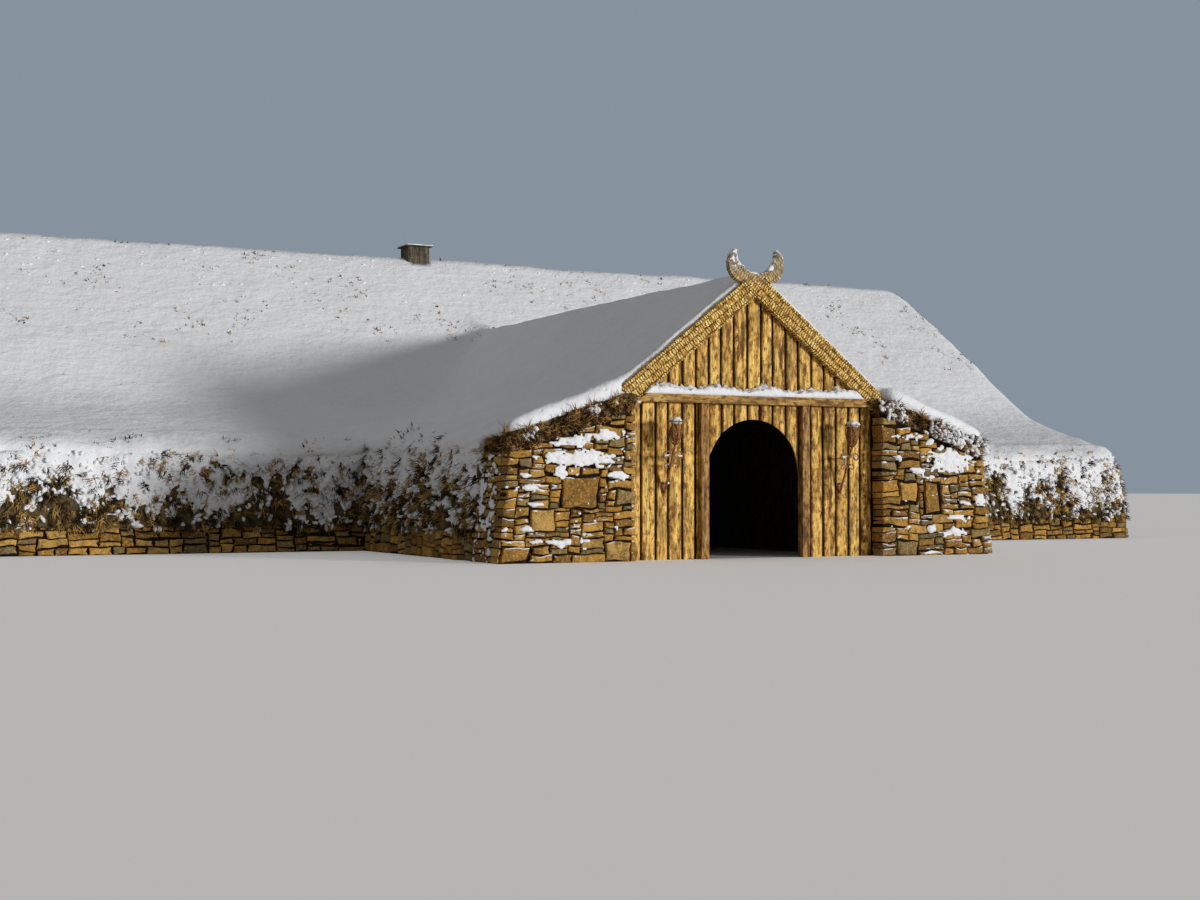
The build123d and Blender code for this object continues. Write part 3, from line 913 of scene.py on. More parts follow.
def scatter(name, ground, shape, density, seed, outward, downward, wild, sizes, material):
    """Copies of a shape stand on a bmesh's faces, hang outwards and down, and are made real."""
    model = bpy.data.objects.new(name + "_model", shape)
    carrier = bpy.data.objects.new(name + "_ground", mesh_of(ground, name + "_ground"))
    for helper in (model, carrier):
        scene.collection.objects.link(helper)
    tree = bpy.data.node_groups.new(name, "GeometryNodeTree")
    tree.interface.new_socket("Geometry", in_out="INPUT", socket_type="NodeSocketGeometry")
    tree.interface.new_socket("Geometry", in_out="OUTPUT", socket_type="NodeSocketGeometry")

    def add(kind, links=(), **settings):
        node = tree.nodes.new(kind)
        for key, value in settings.items():
            setattr(node, key, value)
        for socket, value in links:
            target = node.inputs[socket]
            if isinstance(value, bpy.types.NodeSocket):
                tree.links.new(value, target)
            else:
                target.default_value = value
        return node

    def between(low, high, step):
        """A random vector or number between two others."""
        first, kind = (0, "FLOAT_VECTOR") if isinstance(low, tuple) else (2, "FLOAT")
        node = add("FunctionNodeRandomValue", [(first, low), (first + 1, high), ("Seed", seed + step)],
                   data_type=kind)
        return node.outputs[first // 2]

    ground_in = add("NodeGroupInput").outputs[0]
    points = add("GeometryNodeDistributePointsOnFaces",
                 [("Mesh", ground_in), ("Density", density), ("Seed", seed)])
    normal = points.outputs["Normal"]
    along = add("ShaderNodeVectorMath", [(0, normal), ("Scale", outward)], operation="SCALE").outputs[0]
    hang = add("ShaderNodeVectorMath", [(0, along), (1, (0, 0, -downward))], operation="ADD").outputs[0]
    shaken = between((-wild,) * 3, (wild,) * 3, 1)
    leaning = add("ShaderNodeVectorMath", [(0, hang), (1, shaken)], operation="ADD").outputs[0]
    aligned = add("FunctionNodeAlignRotationToVector", [("Vector", leaning)], axis="Z").outputs[0]
    turn = between((0, 0, 0), (0, 0, 2 * math.pi), 2)
    spun = add("FunctionNodeRotateRotation", [(0, aligned), (1, turn)], rotation_space="LOCAL").outputs[0]
    source = add("GeometryNodeObjectInfo", [("Object", model)])
    copies = add("GeometryNodeInstanceOnPoints", [
        ("Points", points.outputs["Points"]), ("Instance", source.outputs["Geometry"]),
        ("Rotation", spun), ("Scale", between(*sizes, 3)),
    ])
    toned = add("GeometryNodeStoreNamedAttribute", [
        (0, copies.outputs[0]), ("Name", "tone"), ("Value", between(0.0, 1.0, 4)),
    ], data_type="FLOAT", domain="INSTANCE")
    real = add("GeometryNodeRealizeInstances", [(0, toned.outputs[0])])
    add("NodeGroupOutput", [(0, real.outputs[0])])
    carrier.modifiers.new("scatter", "NODES").node_group = tree
    made = applied(carrier)
    for helper in (model, carrier):
        bpy.data.objects.remove(helper)
    keep_in_plan(made.vertices)
    for vert in made.vertices:
        vert.co.y = max(cad_low.y, vert.co.y)
        vert.co.z = max(cad_low.z + 0.002, vert.co.z)
    show(name, made, material)


def lumpy_ball(bm, middle, size, rough_by, wave, detail=3):
    """Adds a ball with three half widths, pushed in and out by noise."""
    ball = bmesh.ops.create_icosphere(bm, subdivisions=detail, radius=1.0)["verts"]
    for vert in ball:
        out = vert.co.normalized()
        at = Vector((out.x * size[0], out.y * size[1], out.z * size[2])) + Vector(middle)
        push = 1.0 + rough_by * (ripple(at, wave) + 0.5 * ripple(at, wave / 2.5))
        vert.co = Vector(middle) + (at - Vector(middle)) * push


# %% [markdown]
# The walls get grass where they are bare and many small clumps of snow between
# and around the patches, dense under the eave and sparse at the foot. Nearer the
# front, where people see it, both are denser than at the back.

# %% Grass and clumps of snow on the walls
def grassy(at):
    return 1.15 - 1.6 * clinging(at)


def clumpy(at):
    return 0.58 + 1.4 * clinging(at)


hanging = tuft(8, 0.3, 0.016, 0.8, seed=4)
flake_ball = bmesh.new()
lumpy_ball(flake_ball, (0, 0, 0.02), (0.042, 0.034, 0.09), 0.6, 0.06, 1)
flake = mesh_of(flake_ball, "flake")
densities = {"front": (84, 112), "back": (34, 34), "left": (34, 34), "right": (34, 34)}
for number, (where, (tufts, clumps)) in enumerate(densities.items()):
    bare_wall = outer_faces(wall_bodies[where], grassy, number)
    scatter(f"grass_{where}", bare_wall, hanging.copy(), tufts, 10 * number + 5, outward=0.6,
            downward=0.7, wild=0.55, sizes=(0.45, 1.1), material=grass)
    white_wall = outer_faces(wall_bodies[where], clumpy, number + 50)
    scatter(f"snow_clumps_{where}", white_wall, flake.copy(), clumps, 10 * number + 8, outward=0.9,
            downward=0.35, wild=0.8, sizes=(0.4, 1.3), material=snow)

# %% [markdown]
# Grass tips also stick out of the roof's snow, a few near the eaves and still
# fewer below the ridge, where the wind keeps the snow thin.

# %% Grass tips in the roof's snow
def tips(name, inside, shape, density, seed):
    ground = copy_of(roof_piece)
    ground.normal_update()
    drop_faces(ground, lambda face: face.normal.z < 0.3 or not inside(face.calc_center_median()))
    scatter(name, ground, shape, density, seed, outward=0.8, downward=0.0, wild=0.9, sizes=(0.3, 1.2),
            material=grass)


def by_the_eave(at):
    lowest = at.z < hall_eave_height + 0.2 if at.y > eave_y - 0.2 else abs(at.x) > porch_eave_width - 0.25
    return near_eave(at) and lowest and ripple(at, 0.8, 6) > 0.02


def by_the_ridge(at):
    return abs(at.y - hall_ridge_y) < 3.4 and ripple(at, 1.3, 2) > 0.1 and ripple(at, 0.4, 4) > 0.0


tips("eave_tips", by_the_eave, tuft(4, 0.15, 0.012, 0.6, seed=8), 26, 71)
tips("ridge_tips", by_the_ridge, tuft(3, 0.1, 0.016, 1.0, seed=9), 32, 72)

# %% [markdown]
# A dry stone wall is planned on a grid of small units. Large stones are set in
# first, then the rest is filled from the bottom row up with slabs of uneven size,
# so the courses break as in the real wall. Each slab is a ragged outline with
# uneven corners, extruded into the wall, with a broken edge and a split face.

# %% Helpers that build a dry stone wall
fine_unit, coarse_unit = 0.045, 0.055
slab_widths = (5, 6, 7, 8, 9, 10, 12)
slab_heights = (2, 2, 3, 3, 3, 4)


def stone_plan(width, height, draw, large=(), unit=fine_unit):
    """Places (left, bottom, wide, tall) of the slabs that fill a wall's face."""
    columns, rows = round(width / unit), round(height / unit)
    taken, plan = set(), []

    def take(column, row, wide, tall):
        taken.update((column + i, row + j) for i in range(wide) for j in range(tall))
        plan.append(tuple(unit * value for value in (column, row, wide, tall)))

    for place in large:
        take(*(round(value / unit) for value in place))
    for row in range(rows):
        for column in range(columns):
            if (column, row) in taken:
                continue
            wide, tall = draw.choice(slab_widths), draw.choice(slab_heights)
            run = 1
            while run < wide + 4 and column + run < columns and (column + run, row) not in taken:
                run += 1
            wide = run if run < wide + 4 else wide
            rise = 1
            while rise < tall and row + rise < rows and not any(
                (column + i, row + rise) in taken for i in range(wide)
            ):
                rise += 1
            take(column, row, wide, rise)
    return plan


def tone_parts(bm, draw):
    """Gives each separate part of a mesh one tone from 0 to 1, in the order of their places."""
    tone = bm.faces.layers.float.new("tone")
    seen, parts = set(), []
    for start in bm.faces:
        if start in seen:
            continue
        part, waiting = [], [start]
        seen.add(start)
        while waiting:
            face = waiting.pop()
            part.append(face)
            for edge in face.edges:
                for other in edge.link_faces:
                    if other not in seen:
                        seen.add(other)
                        waiting.append(other)
        parts.append((min(place_number(face.calc_center_median()) for face in part), part))
    for first, part in sorted(parts, key=lambda entry: entry[0]):
        own = draw.random()
        for face in part:
            face[tone] = own


def slab_outline(bm, left, bottom, wide, tall, out, draw):
    """A ragged face in the place of a rectangle, a joint smaller than it on each side."""
    joint = 0.0035
    half_wide, half_tall = wide / 2 - joint, tall / 2 - joint
    middle = (left + wide / 2, bottom + tall / 2)
    corners = []
    for right, up in ((-1, -1), (1, -1), (1, 1), (-1, 1)):
        cut = 0.6 if draw.random() < 0.3 else 0.2
        u = half_wide - min(half_tall, half_wide) * draw.uniform(0.0, cut)
        v = half_tall * (1 - draw.uniform(0, cut))
        corners.append((right * u, up * v))
    outline = []
    for (u, v), (next_u, next_v) in zip(corners, corners[1:] + corners[:1]):
        steps = max(2, min(5, round(math.hypot(next_u - u, next_v - v) / 0.09)))
        for step in range(steps):
            share = step / steps
            inward = 1.0 - (draw.uniform(-0.002, 0.01) if step else 0.0) / half_tall
            outline.append((inward * (u + share * (next_u - u)), inward * (v + share * (next_v - v))))
    lean = (draw.uniform(-0.05, 0.05), draw.uniform(-0.1, 0.1))
    verts = [
        bm.verts.new((middle[0] + u, out + lean[0] * u + lean[1] * v, middle[1] + v)) for u, v in outline
    ]
    return bm.faces.new(verts)


def stone_wall(bm, plan, place, depth, relief, draw):
    """Adds the planned slabs to bm; place(along, outward, up) puts a point in the house."""
    wall = bmesh.new()
    fronts = [slab_outline(wall, *rect, draw.uniform(*relief), draw) for rect in plan]
    made = bmesh.ops.extrude_face_region(wall, geom=fronts, use_keep_orig=True)["geom"]
    for vert in points_of(made):
        vert.co.y = -depth
    wear_edges(wall, list(dict.fromkeys(edge for face in fronts for edge in face.edges)), 0.011)
    split = [face for face in wall.faces if len(face.verts) > 7 and face.calc_center_median().y > -depth / 2]
    bmesh.ops.inset_individual(wall, faces=split, thickness=0.022, depth=0.0)
    for face in split:
        for vert in face.verts:
            vert.co.y += draw.uniform(0.0, 0.013)
    bmesh.ops.triangulate(wall, faces=split)
    face_outwards(wall)
    for vert in wall.verts:
        along, outward, up = vert.co
        at = (along, 0, up)
        along += 0.03 * ripple(at, 0.5, 1) + 0.042 * ripple(at, 0.2, 2)
        up += 0.02 * ripple(at, 0.6, 3) + 0.036 * ripple(at, 0.24, 4)
        outward += 0.008 * ripple(at, 0.06, 5) if outward > -depth / 2 else 0.0
        vert.co = place(along, outward, up)
    add_part(bm, wall)


def show_stones(name, bm, draw, nodes):
    face_outwards(bm)
    tone_parts(bm, draw)
    return show(name, bm, stone, nodes, sharp=55)


# %% [markdown]
# Each wing is a front face 2.5 m wide, an outer side that leans like the porch
# wall, and a short return beside the planks, which the thick front stones form
# by themselves. The largest slabs stand where the photograph shows them. A dark
# core behind the stones keeps the joints closed.

# %% The stone wings
wing_width = porch_half_width - porch_inner
front_depth, side_depth = 0.3, 0.25
wing_relief = (-0.02, 0.012)
large_left = (
    (0.68, 0.86, 0.72, 0.54), (1.5, 0.5, 0.45, 0.36), (0.54, 1.53, 0.45, 0.27),
    (0.0, 0.9, 0.36, 0.27), (1.9, 0.0, 0.5, 0.27), (0.1, 0.0, 0.5, 0.32),
)
large_right = (
    (0.95, 0.72, 0.42, 0.58), (0.4, 0.9, 0.4, 0.4), (0.0, 1.98, 0.36, 0.3),
    (1.3, 1.4, 0.45, 0.23), (0.3, 0.0, 0.5, 0.27), (1.6, 0.45, 0.45, 0.23),
)


def wing_top(x):
    return porch_top(x) - turf_thickness


def wing_front_place(hand):
    def place(along, outward, up):
        width = wing_width - porch_batter * up
        x = porch_inner + max(0.0, min(1.0, along / wing_width)) * width
        return Vector((hand * x, wing_front_y - outward, max(0.0, min(up, wing_top(x) + 0.04))))
    return place


def wing_side_place(hand):
    def place(along, outward, up):
        x = porch_half_width - porch_batter * up + outward
        return Vector((hand * x, wing_front_y + along, max(0.0, min(up, wing_top(x) + 0.04))))
    return place


def stone_wing(hand, where, large, seed):
    draw = random.Random(seed)
    bm = bmesh.new()
    front = stone_plan(wing_width, wing_top(porch_inner), draw, large)
    under_cap = []
    for left, bottom, wide, tall in front:
        if bottom + 0.3 * tall < wing_top(porch_inner + left + wide / 2):
            under_cap.append((left, bottom, wide, tall))
    stone_wall(bm, under_cap, wing_front_place(hand), front_depth, wing_relief, draw)
    side_start = front_depth - 0.04
    side = stone_plan(wing_back_y - wing_front_y - side_start, wing_top(porch_eave_width) + 0.1, draw)
    side = [(rect[0] + side_start, *rect[1:]) for rect in side]
    stone_wall(bm, side, wing_side_place(hand), side_depth, wing_relief, draw)
    stones = show_stones(f"wing_stones_{where}", bm, draw, [f"wing_wall_{where}"])
    core = cad_copy(f"wing_wall_{where}")
    for vert in core.verts:
        if vert.co.y < wing_front_y + 0.01:
            vert.co.y += 0.06
        if wall_gap(vert.co) < 0.02:
            vert.co.x -= hand * 0.06
        elif abs(vert.co.x) < porch_inner + 0.01 and vert.co.y < planks_y:
            vert.co.x += hand * 0.05
    show(f"wing_core_{where}", core, soil_and_shade, sharp=30)
    return stones


wing_left = stone_wing(-1, "left", large_left, 11)
wing_right = stone_wing(1, "right", large_right, 23)

# %% [markdown]
# The same slabs make the low footing that runs round the hall and along the
# porch. It is laid along the wall's own line, which turns at the rounded corners,
# and is planned a little coarser on the two quarters that are mostly behind.

# %% The stone footings
footing_depth = 0.2
core_set_back = 0.13


def hall_edge(along):
    """A point on the hall's outline at ground level and the way out of it."""
    half_x, half_y = hall_half_length - corner_radius, hall_half_depth - corner_radius
    corner, end = (math.pi * corner_radius / 2, 1), (2 * half_y, 0)
    runs = ((half_x, 0), corner, end, corner, (2 * half_x, 0), corner, end, corner, (half_x, 0))
    x, y, heading = 0.0, hall_ridge_y - hall_half_depth, 0.0
    for length, turning in runs:
        step = min(along, length)
        if turning:
            angle = step / corner_radius
            x += corner_radius * (math.sin(heading + angle) - math.sin(heading))
            y += corner_radius * (math.cos(heading) - math.cos(heading + angle))
            heading += angle
        else:
            x += step * math.cos(heading)
            y += step * math.sin(heading)
        along -= step
        if along <= 0:
            break
    return Vector((x, y, 0.0)), Vector((math.sin(heading), -math.cos(heading), 0.0))


outline_length = 4 * (hall_half_length + hall_half_depth - 2 * corner_radius) + 2 * math.pi * corner_radius


def hall_place(along, outward, up):
    at, out = hall_edge(along)
    up = max(0.0, up)
    return at + out * (min(outward, 0.0) - batter * up) + Vector((0, 0, up))


def porch_place(hand):
    def place(along, outward, up):
        up = max(0.0, up)
        return Vector((hand * (porch_half_width - porch_batter * up + outward), wing_back_y + along, up))
    return place


def footing_core(nodes):
    core = cad_copy(*nodes)
    for vert in core.verts:
        if wall_gap(vert.co) < 0.05:
            inward = Vector((-vert.co.x / hall_half_length, (hall_ridge_y - vert.co.y) / hall_half_depth, 0))
            if vert.co.y < hall_front_y - 0.01:
                inward = Vector((-vert.co.x, 0, 0))
            vert.co += core_set_back * inward.normalized()
    return core


def stone_footings():
    draw = random.Random(31)
    start = porch_half_width - 0.2
    bm = bmesh.new()
    for turn in range(4):
        length = (outline_length - 2 * start) / 4
        unit = fine_unit if turn in (0, 3) else coarse_unit
        plan = stone_plan(length, footing_height + 0.03, draw, unit=unit)
        plan = [(rect[0] + start + turn * length, *rect[1:]) for rect in plan]
        stone_wall(bm, plan, hall_place, footing_depth, (-0.035, -0.005), draw)
    nodes = ["hall_side_footings", "hall_end_footings"]
    show_stones("hall_footing_stones", bm, draw, nodes)
    show("hall_footing_core", footing_core(nodes), soil_and_shade, sharp=30)
    bm = bmesh.new()
    for hand in (-1, 1):
        plan = stone_plan(hall_front_y - wing_back_y, footing_height + 0.03, draw)
        stone_wall(bm, plan, porch_place(hand), footing_depth, (-0.02, 0.01), draw)
    show_stones("porch_footing_stones", bm, draw, ["porch_footings"])
    show("porch_footing_core", footing_core(["porch_footings"]), soil_and_shade, sharp=30)


stone_footings()

# %% [markdown]
# The turf on each wing is a thick brown mat of heather roots. It is the CAD cap
# as an even net, pushed into lumps, with stiff twigs scattered on the sides that
# show. The snow of the roof already lies on it, and flakes of snow are caught
# between the twigs, more of them on the right wing.

# %% The heather on the wings
def wing_cap(where, seed, bare):
    bm = voxel_mesh(cad_copy(f"wing_turf_cap_{where}"), 0.04)
    bm.normal_update()
    for vert in bm.verts:
        vert.co += vert.normal * (0.035 * ripple(vert.co, 0.2) + 0.015 * ripple(vert.co, 0.07))
    cap = show(f"wing_turf_{where}", bm, turf, [f"wing_turf_cap_{where}"])

    def is_hidden(face):
        middle = face.calc_center_median()
        behind = middle.y > wing_back_y - 0.1 or middle.z < wing_top(middle.x) + 0.03
        return behind or face.normal.z > 0.6

    ground = copy_of(cap)
    drop_faces(ground, is_hidden)
    mound, white = ground.copy(), ground.copy()
    drop_faces(mound, lambda face: ripple(face.calc_center_median(), 0.4, 5) < 0.0)
    drop_faces(white, lambda face: ripple(face.calc_center_median(), 0.35, 8) < bare)
    short_twigs, long_twigs = tuft(9, 0.18, 0.012, 1.1, seed), tuft(9, 0.3, 0.012, 0.9, seed)
    scatter(f"heather_{where}", ground, short_twigs, 300, seed, outward=0.6, downward=0.35,
            wild=0.7, sizes=(0.35, 1.2), material=heather)
    scatter(f"heather_mounds_{where}", mound, long_twigs, 150, seed + 7, outward=0.6,
            downward=-0.1, wild=0.7, sizes=(0.5, 1.1), material=heather)
    scatter(f"snow_in_heather_{where}", white, flake.copy(), 420, seed + 9, outward=0.9,
            downward=0.2, wild=0.8, sizes=(0.4, 1.3), material=snow)


wing_cap("left", 51, 0.28)
wing_cap("right", 61, -0.12)

# %% [markdown]
# Every plank of the front is its own board, a little wavy, with a gap beside it.
# Behind the planks, a copy of their CAD boards in the near-black soil colour is
# painted shade that keeps the gaps dark. A board is a grid from its foot to its
# head. Both ends may follow a curve, so the same few lines make the boards that
# are cut over the arch and the ones that end under the sloping gable boards.

# %% The plank front
def plank(bm, left, right, foot, head, front, thick, draw):
    """Adds a board whose ends follow foot(x) and head(x)."""
    part = bmesh.new()
    bmesh.ops.create_grid(part, x_segments=6, y_segments=12, size=0.5)
    shift = draw.uniform(0, 50)
    set_back = draw.uniform(-0.004, 0.006)
    for vert in part.verts:
        across, along = vert.co.x + 0.5, vert.co.y + 0.5
        worn = 0.008 if across < 0.01 or across > 0.99 else 0.0
        across = min(1.0, max(0.0, 0.5 + (across - 0.5) * (1.0 if worn else 1.34)))
        x = left + across * (right - left)
        z = foot(x) + along * (head(x) - foot(x))
        if 0.01 < along < 0.99:
            x += 0.005 * ripple((shift, across, z), 0.35)
        y = front + set_back + worn + 0.003 * ripple((x, shift, z), 0.25) + 0.012 * (2 * across - 1) ** 4
        vert.co = (x, y, z)
    for vert in points_of(bmesh.ops.extrude_face_region(part, geom=part.faces[:])["geom"]):
        vert.co.y = front + thick
    face_outwards(part)
    add_part(bm, part)


plank_count = 19
plank_gap = 0.045
plank_thick = 0.034
plank_half = 0.03
front_face = planks_y - plank_half
door_half, post_outer = 0.925, 1.075
springing, arch_radius = 1.45, 0.9
beam_low, beam_high = 2.60, 2.74
gable_peak = porch_ridge_height - turf_thickness
gable_seed = 17


def plank_edges(draw):
    """Left and right edge of each plank over the whole front."""
    pitch = 2 * porch_inner / plank_count
    cuts = [-porch_inner + pitch * number + draw.uniform(-0.018, 0.018) for number in range(plank_count + 1)]
    cuts[0], cuts[-1] = -porch_inner, porch_inner
    return [(left + plank_gap, right) for left, right in zip(cuts, cuts[1:])]


def arch_line(x):
    reach = arch_radius ** 2 - x * x
    return springing + math.sqrt(reach) if reach > 0 else springing


def under_roof(x):
    return gable_peak - porch_slope * abs(x) - 0.004


def under_beam(x):
    return min(beam_low, under_roof(x))


def plank_front():
    draw = random.Random(7)
    bm = bmesh.new()
    for left, right in plank_edges(draw):
        spans = (
            (left, min(right, -post_outer), level(0.0)),
            (max(left, post_outer), right, level(0.0)),
            (max(left, -door_half), min(right, door_half), arch_line),
        )
        for low, high, foot in spans:
            if high - low > 0.02:
                plank(bm, low, high, foot, under_beam, front_face, plank_thick, draw)
    gable = random.Random(gable_seed)
    for left, right in plank_edges(gable):
        low, high = max(left, -2.3), min(right, 2.3)
        if high - low > 0.05 and min(under_roof(low), under_roof(high)) > beam_low:
            plank(bm, low, high, level(beam_low), under_roof, front_face, plank_thick, gable)
    tone_parts(bm, draw)
    nodes = ["plank_front_left", "plank_front_right", "gable_planks", "door_arch_planks"]
    show("front_planks", bm, planks_wood, nodes, sharp=30)
    # Painted shade: a copy of the planks' CAD boards, set behind them in the near-black soil colour, darkens
    # the gaps.
    back = cad_copy(*nodes)
    for vert in back.verts:
        if vert.co.y < planks_y:
            vert.co.y = planks_y + 0.002
    show("planks_behind", back, soil_and_shade, sharp=30)


plank_front()

# %% [markdown]
# The posts and the tie beam are hewn square. Their CAD solids have the right
# shape and place, so a copy is sliced along its length, made slightly uneven,
# and given worn edges.

# %% The door posts and the tie beam
def hewn_timber(name, nodes, axis, step, wobble, worn, material):
    """Shows CAD timbers sliced along an axis, with a slight wobble and worn edges."""
    bm = cad_copy(*nodes)
    bmesh.ops.dissolve_limit(bm, angle_limit=0.02, verts=bm.verts, edges=bm.edges)
    low = min(vert.co[axis] for vert in bm.verts)
    high = max(vert.co[axis] for vert in bm.verts)
    wear_edges(bm, bm.edges[:], worn, 2, clamp_overlap=True)
    direction = Vector([float(i == axis) for i in range(3)])
    for number in range(1, int((high - low) / step)):
        bmesh.ops.bisect_plane(bm, geom=bm.verts[:] + bm.edges[:] + bm.faces[:], dist=1e-5,
                               plane_co=direction * (low + number * step), plane_no=direction)
    for vert in bm.verts:
        move = Vector([ripple(vert.co, 0.6, 3 * i) + 0.4 * ripple(vert.co, 0.15, 5 * i) for i in range(3)])
        move[axis] = 0.0
        vert.co += wobble * move
        vert.co.z = max(vert.co.z, cad_low.z)
    tone_parts(bm, random.Random(len(name)))
    show(name, bm, material, nodes, sharp=30)


hewn_timber("posts_hewn", ["door_posts"], 2, 0.13, 0.005, 0.01, post_wood)
hewn_timber("beam_hewn", ["tie_beam"], 0, 0.16, 0.005, 0.012, beam_wood)

# %% [markdown]
# The gable boards carry the feature of this house: they cross at the ridge in a
# half lap and run on as a pair of horns. Their CAD solids already have that
# joint. An even net of small quads is laid over each, and an adze is taken to it:
# rows of scoops are pressed into the faces, in the board's own direction.

# %% The gable boards and their horns
board_cross_height = 4.7


def on_board(point, hand):
    """Places along and across the board that runs down to one side."""
    angle = math.atan(porch_slope)
    out, up = hand * point.x, point.z - board_cross_height
    return out * math.cos(angle) - up * math.sin(angle), out * math.sin(angle) + up * math.cos(angle)


def adze(point, hand):
    """Depth of the tool marks at a point of a board."""
    along, across = on_board(point, hand)
    row = math.floor(across / adze_row)
    phase = along / 0.1 + 0.4 * row + 0.5 * ripple((along, row, hand), 0.4)
    return abs(math.sin(math.pi * phase)) * abs(math.sin(math.pi * across / adze_row)) ** 0.5


def gable_board(where, hand):
    node = f"gable_board_{where}"
    bm = voxel_mesh(cad_copy(node), 0.017)
    bm.normal_update()
    board = bm.verts.layers.float_vector.new("board")
    for vert in bm.verts:
        vert[board] = (*on_board(vert.co, hand), vert.co.y)
        bite = 0.008 * adze(vert.co, hand) + 0.004 * ripple(vert.co, 0.06)
        vert.co -= vert.normal * bite
        vert.co += vert.normal * 0.006 * ripple(vert.co, 0.3, 2)
    return show(f"board_hewn_{where}", bm, hewn_wood, [node])


boards = [gable_board("left", -1), gable_board("right", 1)]

# %% [markdown]
# Snow also settles on the boards, the horns, the stones and anything else that
# faces the sky. A copy of the faces that look up is lifted where a noise is high.

# %% Snow that settles on a piece
def show_crust(name, bm, thickness):
    """Gives open snow a thickness, keeps it above the ground and shows it."""
    bmesh.ops.solidify(bm, geom=bm.faces[:], thickness=thickness)
    face_outwards(bm)
    for vert in bm.verts:
        vert.co.z = max(0.0, vert.co.z)
    show(name, bm, snow)


def settled(name, sources, thick, least_up, share, size, keep, shift=0.0):
    """Snow on the faces that look up and for which keep(middle) holds."""
    bm = copy_of(*sources)
    bm.normal_update()
    drop_faces(bm, lambda face: face.normal.z < least_up or not keep(face.calc_center_median()))
    cover = {}
    for vert in bm.verts:
        cover[vert] = ripple(vert.co, size, shift) + 0.5 * ripple(vert.co, size / 3, shift) + share
    drop_faces(bm, lambda face: max(cover[vert] for vert in face.verts) < 0)
    bm.normal_update()
    for vert in bm.verts:
        rise = Vector((0, 0, 0.5)) + 0.5 * vert.normal
        vert.co += rise * thick * max(-0.3, min(cover[vert], 0.7))
    show_crust(name, bm, 0.012)


def on_horns(at):
    return at.y < front_face and at.z > 5.0 + 0.35 * ripple(at, 0.3, 3)


def on_ledges(at):
    return at.y < wing_front_y + 0.02


def by_horns(at):
    return at.z > 4.75


settled("board_snow", boards, 0.05, 0.2, 0.12, 0.16, by_horns)
settled("ledge_snow", [wing_left, wing_right], 0.035, 0.45, -0.04, 0.35, on_ledges)
settled("horn_snow", boards, 0.016, -0.4, 0.02, 0.11, on_horns, 4.0)

# %% [markdown]
# On the ledge of the tie beam snow lies a hand thick, drawn up in points where it
# blows into the gaps between the planks.

# %% Snow on the tie beam
beam_snow_end = 2.16
beam_proud = 0.17
gap_places = [left - plank_gap / 2 for left, right in plank_edges(random.Random(gable_seed))]


def beam_snow_top(x, y):
    back = (y - (front_face - beam_proud)) / beam_proud
    ends = min(1.0, max(0.0, (beam_snow_end - abs(x)) / 0.12))
    depth = 0.125 + 0.07 * ripple((x, 0, 0), 0.5)
    depth = depth + 0.055 * ripple((x, y, 2), 0.1) + 0.045 * ripple((x, y, 7), 0.05)
    nearest = min(abs(x - place) for place in gap_places)
    point = max(0.0, 1.0 - (nearest / 0.07) ** 2) * max(0.0, 0.3 + 1.2 * ripple((x, 4, 4), 0.23))
    return beam_high + ends * (max(0.02, depth) * (0.75 + 0.4 * back) + 0.04 * point * back * back) + 0.004


def beam_snow_lip(x, y):
    return 0.012 if y < front_face - 0.1 else 0.0


beam_snow = lay_snow(
    (-beam_snow_end, front_face - 0.165), (beam_snow_end, front_face - 0.002), 0.022, level(True),
    level(beam_high - 0.004), beam_snow_top, beam_snow_lip, level(0.0),
)
show("beam_snow", beam_snow, snow)

# %% [markdown]
# Snow was blown on the wings' stones too, in ragged smears that follow the
# courses. Each patch is a fine grid a little in front of the stones, raised where
# a level noise and a few placed patches are high and left out elsewhere.

# %% Snow on the wings
patches_left = (
    (0.65, 2.05, 0.32, 0.07), (1.3, 1.93, 0.36, 0.06), (1.1, 1.65, 0.66, 0.13), (0.32, 1.38, 0.17, 0.06),
    (2.0, 1.19, 0.28, 0.04), (2.1, 1.38, 0.1, 0.04), (1.85, 0.93, 0.14, 0.03), (1.45, 1.48, 0.1, 0.1),
    (2.0, 0.55, 0.1, 0.03), (1.35, 0.33, 0.4, 0.04),
)
patches_right = (
    (0.62, 2.09, 0.22, 0.06), (1.15, 2.0, 0.15, 0.06), (1.6, 1.68, 0.5, 0.26), (0.8, 1.48, 0.22, 0.07),
    (1.12, 1.36, 0.1, 0.08), (1.9, 0.92, 0.12, 0.05), (1.62, 0.4, 0.3, 0.08), (1.7, 0.66, 0.3, 0.04),
    (1.1, 0.47, 0.1, 0.06), (2.25, 0.98, 0.12, 0.12), (0.55, 0.5, 0.1, 0.04), (0.42, 1.72, 0.07, 0.06),
)


def blown_snow(name, place, width, high, cover):
    """Thin snow on a wall's face where a level noise added to its cover is above 0."""
    bm = bmesh.new()
    bmesh.ops.create_grid(bm, x_segments=round(width / 0.02), y_segments=round(high / 0.02), size=0.5)
    share = {}
    for vert in bm.verts:
        along, up = (vert.co.x + 0.5) * width, (vert.co.y + 0.5) * high
        flat = (along, len(name), 2.2 * up)
        amount = cover(along, up) + 0.55 * ripple(flat, 0.25, 3) + 0.6 * ripple(flat, 0.1, 6)
        amount += 0.25 * ripple(flat, 0.05, 9)
        share[vert] = amount
        vert.co = place(along, 0.006 + 0.04 * max(-0.5, min(amount, 0.5)), up)
    drop_faces(bm, lambda face: max(share[vert] for vert in face.verts) < 0.0)
    smooth(bm, [vert for vert in bm.verts if vert.is_boundary], 3)
    show_crust(name, bm, 0.015)


def front_cover(patches):
    def cover(along, up):
        if up > wing_top(porch_inner + along):
            return -2.0
        here = max(1.0 - math.hypot((along - u) / wide, (up - v) / tall) for u, v, wide, tall in patches)
        return 0.7 * max(here, -0.7) - 0.08
    return cover


def side_cover(along, up):
    if up > wing_top(porch_eave_width):
        return -2.0
    return 0.3 * ripple((along, 0, up), 0.5) - 0.2 - 2.5 * max(0.0, 0.35 - along)


